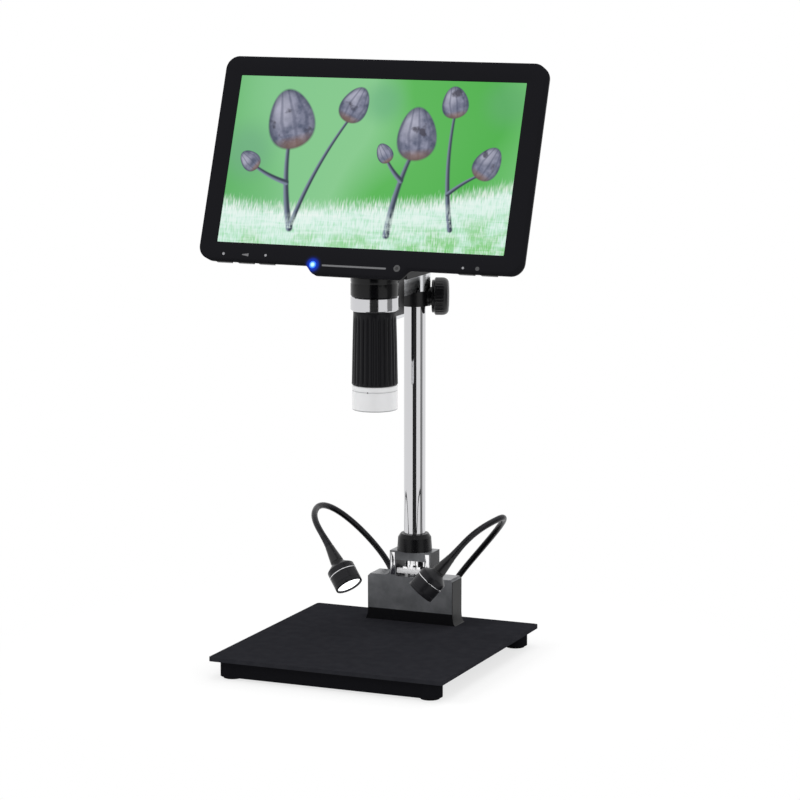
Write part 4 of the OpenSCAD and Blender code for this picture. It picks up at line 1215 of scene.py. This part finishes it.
class MICROSCOPE_OT_lamps(bpy.types.Operator):
    """Two gooseneck lamps with their sockets"""
    bl_idname = "microscope.lamps"
    bl_label = "Lamps"

    def execute(self, context):
        body = coated("lamp_black", colours().lamp, 0.3, 1800.0, 0.05, 0.06, Metallic=0.3,
                      Specular_IOR_Level=0.15, Coat_Weight=0.05, Coat_Roughness=0.2)
        boot = coated("boot_black", colours().plastic, 0.3, Specular_IOR_Level=0.4)
        ring = metal("lamp_ring_chrome", (0.85, 0.85, 0.87, 1), 0.1)
        glass = lamp_glass()
        led = glowing("lamp_led", (1.0, 0.97, 0.88, 1), 3.0)
        goose = goose_finish()
        socket = metal("socket_grey", (0.42, 0.43, 0.45, 1), 0.28)
        for side in ("left", "right"):
            self.lamp(side, body, boot, ring, glass)
            self.neck(side, goose)
            self.socket(side, socket)
            finish_nodes({f"lamp_led_{side}": (led, 0)})
        return {"FINISHED"}

    def lamp(self, side, body, boot, ring, glass):
        """Barrel, boot, bright ring and lens, drawn in the lamp's own frame."""
        place, rides = lamp_place(side), f"lamp_{side}"
        front = lathe(profile(
            (9.1, -3.9), (9.1, -10.6), (9.4, -10.9), (10.0, -10.9), (10.35, -10.75), (10.5, -10.4),
            (10.5, -7.9), (10.38, -7.8), (10.38, -7.5), (10.5, -7.4), (10.5, -0.7), (10.2, -0.4),
            (9.4, -0.4), (9.4, -3.9)), 96, closed=True)
        rear = lathe(profile(
            (0, 0.4), (10.2, 0.4), (10.5, 0.7), (10.5, 4.2), (10.3, 4.7), (9.6, 5.4), (6.4, 7.8),
            (5.6, 8.4), (5.2, 8.9), (0, 8.9)), 96)
        sleeve = lathe(profile(
            (0, 8.8), (5.0, 8.8), (5.05, 9.6), (4.8, 9.9), (4.8, 10.3), (5.0, 10.6), (4.2, 16.5),
            (3.5, 21.0), (3.3, 23.2), (3.05, 23.9), (2.7, 24.1), (2.5, 23.9), (2.5, 21.0),
            (0, 21.0)), 64)
        trim = lathe(profile((9.4, -0.4), (10.35, -0.4), (10.55, -0.25), (10.6, 0), (10.55, 0.25),
                             (10.35, 0.4), (9.4, 0.4)), 96, closed=True)
        lens = lathe(profile((0, -9.1), (3.0, -9.3), (6.0, -9.55), (7.4, -9.7), (8.6, -9.7),
                             (9.05, -9.3), (9.05, -8.1), (0, -8.1)), 64)
        for part, bm, made, slot_name, replaced in (
                ("barrel", merged(front, rear), body, "lamp_black", [f"lamp_{side}"]),
                ("boot", sleeve, boot, "lamp_black", []),
                ("trim", trim, ring, "steel", [f"lamp_ring_{side}"]),
                ("glass", lens, glass, "lens_glass", [f"lamp_lens_{side}"])):
            piece(f"{rides}_{part}", moved(bm, place), rides, made, slot_name, replaced)

    def neck(self, side, made):
        """The gooseneck: a wound hose, thicker where it leaves the lamp."""
        points = neck_route(side)
        radius = sizes().neck_radius
        turns = [0.0]
        for a, b in zip(points, points[1:]):
            turns.append(turns[-1] + (b - a).length / NECK_PITCH)
        radii = [radius * (0.98 + 0.02 * math.sin(2 * math.pi * turn))
                 + 0.9 * MM * max(1 - turn / 10, 0) ** 1.5 for turn in turns]
        obj = piece(f"gooseneck_{side}", swept(points, radii, 18), None, made, "neck_grey",
                    smooth_angle=70)
        crown = joint_point(f"neck_bend_{side}")
        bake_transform(obj)
        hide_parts(f"neck_upper_{side}", f"neck_lower_{side}")

    def socket(self, side, made):
        """The knurled socket that a gooseneck turns in."""
        mouth = joint_point(f"neck_swing_{side}")
        base = high("bracket_rear_cover").y
        deep = (mouth.y - base) / MM

        def knurled(angle, r, _):
            return r - 0.12 * MM * (1 + math.cos(angle * 30)) if r > 4.4 * MM else r

        bm = lathe(profile(
            (0, -2.6), (3.0, -2.6), (3.0, 0.05), (4.0, 0.05), (4.3, 0.3), (4.5, 0.6),
            (4.5, deep - 2.4), (4.2, deep - 2.0), (3.9, deep - 1.9), (3.9, deep - 0.5),
            (3.6, deep), (2.7, deep), (2.55, deep - 0.2), (2.55, deep - 2.4), (0, deep - 2.4)),
            120, radius_at=knurled)
        turn = Vector((0, 1, 0)).to_track_quat("Z", "Y").to_matrix().to_4x4()
        moved(bm, Matrix.Translation((mouth.x, base, mouth.z)) @ turn)
        piece(f"socket_{side}_ring", bm, "stand", made, "steel", [f"socket_{side}"])


def goose_finish():
    """Dark plated steel, lighter where it has been rubbed."""
    made, n, shader = material("goose_dark", Metallic=0.9)
    noise = n.noise(160.0, 4.0)
    worn = use(n, "Edge wear", Amount=0.3, Scale=300.0)["Mask"]
    dark = n.mix(noise, (0.028, 0.028, 0.031, 1), (0.014, 0.014, 0.016, 1))
    feed(n, shader, Base_Color=n.mix(worn, dark, (0.2, 0.2, 0.21, 1)),
         Roughness=n.spread(noise, 0.3, 0.7, 0.2, 0.3))
    return made


def lamp_glass():
    """The lamp's lit lens."""
    made, n, shader = material("lamp_lens_lit", Roughness=0.1, IOR=1.5, Emission_Strength=2.0)
    tone = n.mix(n.noise(900.0), (1.0, 0.99, 0.95, 1), (0.9, 0.93, 1.0, 1))
    feed(n, shader, Base_Color=tone, Emission_Color=tone)
    return made


# ---------- studio ----------
class MICROSCOPE_OT_stage(bpy.types.Operator):
    """Pale floor, studio light and camera"""
    bl_idname = "microscope.stage"
    bl_label = "Studio"

    def execute(self, context):
        scene = context.scene
        white = tuple(colours().backdrop)
        disc_mesh = bmesh.new()
        bmesh.ops.create_circle(disc_mesh, cap_ends=True, segments=96, radius=0.31)
        floor = linked("floor", mesh_from("floor", disc_mesh))
        floor.location.z = -0.0002
        floor.data.materials.append(floor_material(white))
        cards = [self.card(*each) for each in (
            ("card_camera", 0, 41, 0.03), ("card_right", 85, 114, 0.27))]

        world = bpy.data.worlds.new("studio")
        world.use_nodes = True
        # white for the camera, gloss and glass; soft grey for light
        n = cleared(world)
        n.end("World", n.add("Background", color=n.mix(seen(n), (0.62, 0.62, 0.62, 1), white),
                             strength=1.0))
        scene.world = world

        for name, place, size, power, aim in (
                ("key_light", (-2.0, -1.1, 1.9), 1.6, 22, (0, 0, 0.2)),
                ("fill_light", (2.2, -0.6, 1.2), 1.4, 9, (0, 0, 0.2)),
                ("top_light", (0.1, 0.4, 2.4), 1.8, 16, (0, 0, 0.1)),
                ("rear_light", (0.6, 2.2, 1.5), 1.4, 12, (0, 0, 0.2))):
            lamp = bpy.data.lights.new(name, "AREA")
            lamp.shape = "DISK"
            lamp.size = size
            lamp.energy = power
            obj = linked(name, lamp)
            obj.location = place
            obj.visible_glossy = False
            obj.rotation_euler = (Vector(aim) - Vector(place)).to_track_quat("-Z", "Y").to_euler()

        camera = bpy.data.cameras.new("camera")
        camera.lens = 145.3
        camera.sensor_width = 36
        camera.clip_end = 50
        obj = linked("camera", camera)
        azimuth, elevation = math.radians(23.13), math.radians(9.39)
        back = Vector((math.sin(azimuth) * math.cos(elevation),
                       -math.cos(azimuth) * math.cos(elevation), math.sin(elevation)))
        obj.location = (0.9242, -2.1202, 0.5774)
        obj.rotation_euler = back.to_track_quat("Z", "Y").to_euler()
        scene.camera = obj
        scene.view_settings.view_transform = "Standard"
        return {"FINISHED"}

    def card(self, name, start, end, level):
        """An upright studio card round the stage, met only by gloss."""
        away, foot, top, steps = 3.2, -1.4, 2.2, 24
        bm = bmesh.new()
        rows = []
        for k in range(steps + 1):
            turn = math.radians(start + (end - start) * k / steps)
            x, y = away * math.sin(turn), -away * math.cos(turn)
            rows.append((bm.verts.new((x, y, foot)), bm.verts.new((x, y, top))))
        for (a, b), (c, d) in zip(rows, rows[1:]):
            bm.faces.new((a, c, d, b))
        made = bpy.data.materials.new(f"{name}_grey")
        made.use_nodes = True
        n = cleared(made)
        n.end("Material", n.add("Emission", color=(level, level, level, 1), strength=1.0))
        obj = linked(name, mesh_from(name, bm))
        obj.data.materials.append(made)
        for rays in ("camera", "diffuse", "transmission", "shadow"):
            setattr(obj, f"visible_{rays}", False)
        return obj


def cleared(owner):
    """The node helper of a material or world, whose first nodes are taken out."""
    owner.node_tree.nodes.clear()
    return Nodes(owner.node_tree)


def seen(n):
    """1 for rays from the camera, a mirror or glass."""
    path = n.node("LightPath").outputs
    camera, mirror, glass = (Flow(n, path[f"Is {kind} Ray"])
                             for kind in ("Camera", "Glossy", "Transmission"))
    return n.larger(n.larger(camera, mirror), glass)


def floor_material(white):
    """Matte white that takes shadow in the middle and turns to plain white at its rim."""
    made = bpy.data.materials.new("floor_white")
    made.use_nodes = True
    n = cleared(made)
    away = n.add("VectorMath", {"operation": "LENGTH"}, "Value", i0=n.object_place())
    share = seen(n) * n.spread(away, 0.14, 0.3, 0.72, 1.0, smooth=True)
    n.end("Material", n.add("MixShader", i0=share, i1=n.add("BsdfDiffuse", color=white),
                            i2=n.add("Emission", color=white, strength=1.0)))
    return made


class MICROSCOPE_PT_panel(bpy.types.Panel):
    """Sizes, colours and the operators that make the looks"""
    bl_idname = "MICROSCOPE_PT_panel"
    bl_label = "Digital microscope"
    bl_space_type = "VIEW_3D"
    bl_region_type = "UI"
    bl_category = "Microscope"

    def draw(self, context):
        for group_name in ("microscope_sizes", "microscope_colours"):
            settings = getattr(context.scene, group_name)
            for name in settings.__annotations__:
                self.layout.prop(settings, name)
        for operator in OPERATORS:
            self.layout.operator(operator.bl_idname)


OPERATORS = (
    MICROSCOPE_OT_stage, MICROSCOPE_OT_base, MICROSCOPE_OT_stand, MICROSCOPE_OT_pillar,
    MICROSCOPE_OT_carriage, MICROSCOPE_OT_column, MICROSCOPE_OT_head, MICROSCOPE_OT_display,
    MICROSCOPE_OT_lamps)
CLASSES = (MicroscopeSizes, MicroscopeColours, *OPERATORS, MICROSCOPE_PT_panel)


def register():
    for cls in CLASSES:
        bpy.utils.register_class(cls)
    bpy.types.Scene.microscope_sizes = bpy.props.PointerProperty(type=MicroscopeSizes)
    bpy.types.Scene.microscope_colours = bpy.props.PointerProperty(type=MicroscopeColours)


def unregister():
    del bpy.types.Scene.microscope_colours
    del bpy.types.Scene.microscope_sizes
    for cls in reversed(CLASSES):
        bpy.utils.unregister_class(cls)


def main():
    register()
    for operator in OPERATORS:
        getattr(bpy.ops.microscope, operator.bl_idname.split(".")[1])()


if __name__ == "__main__":
    main()
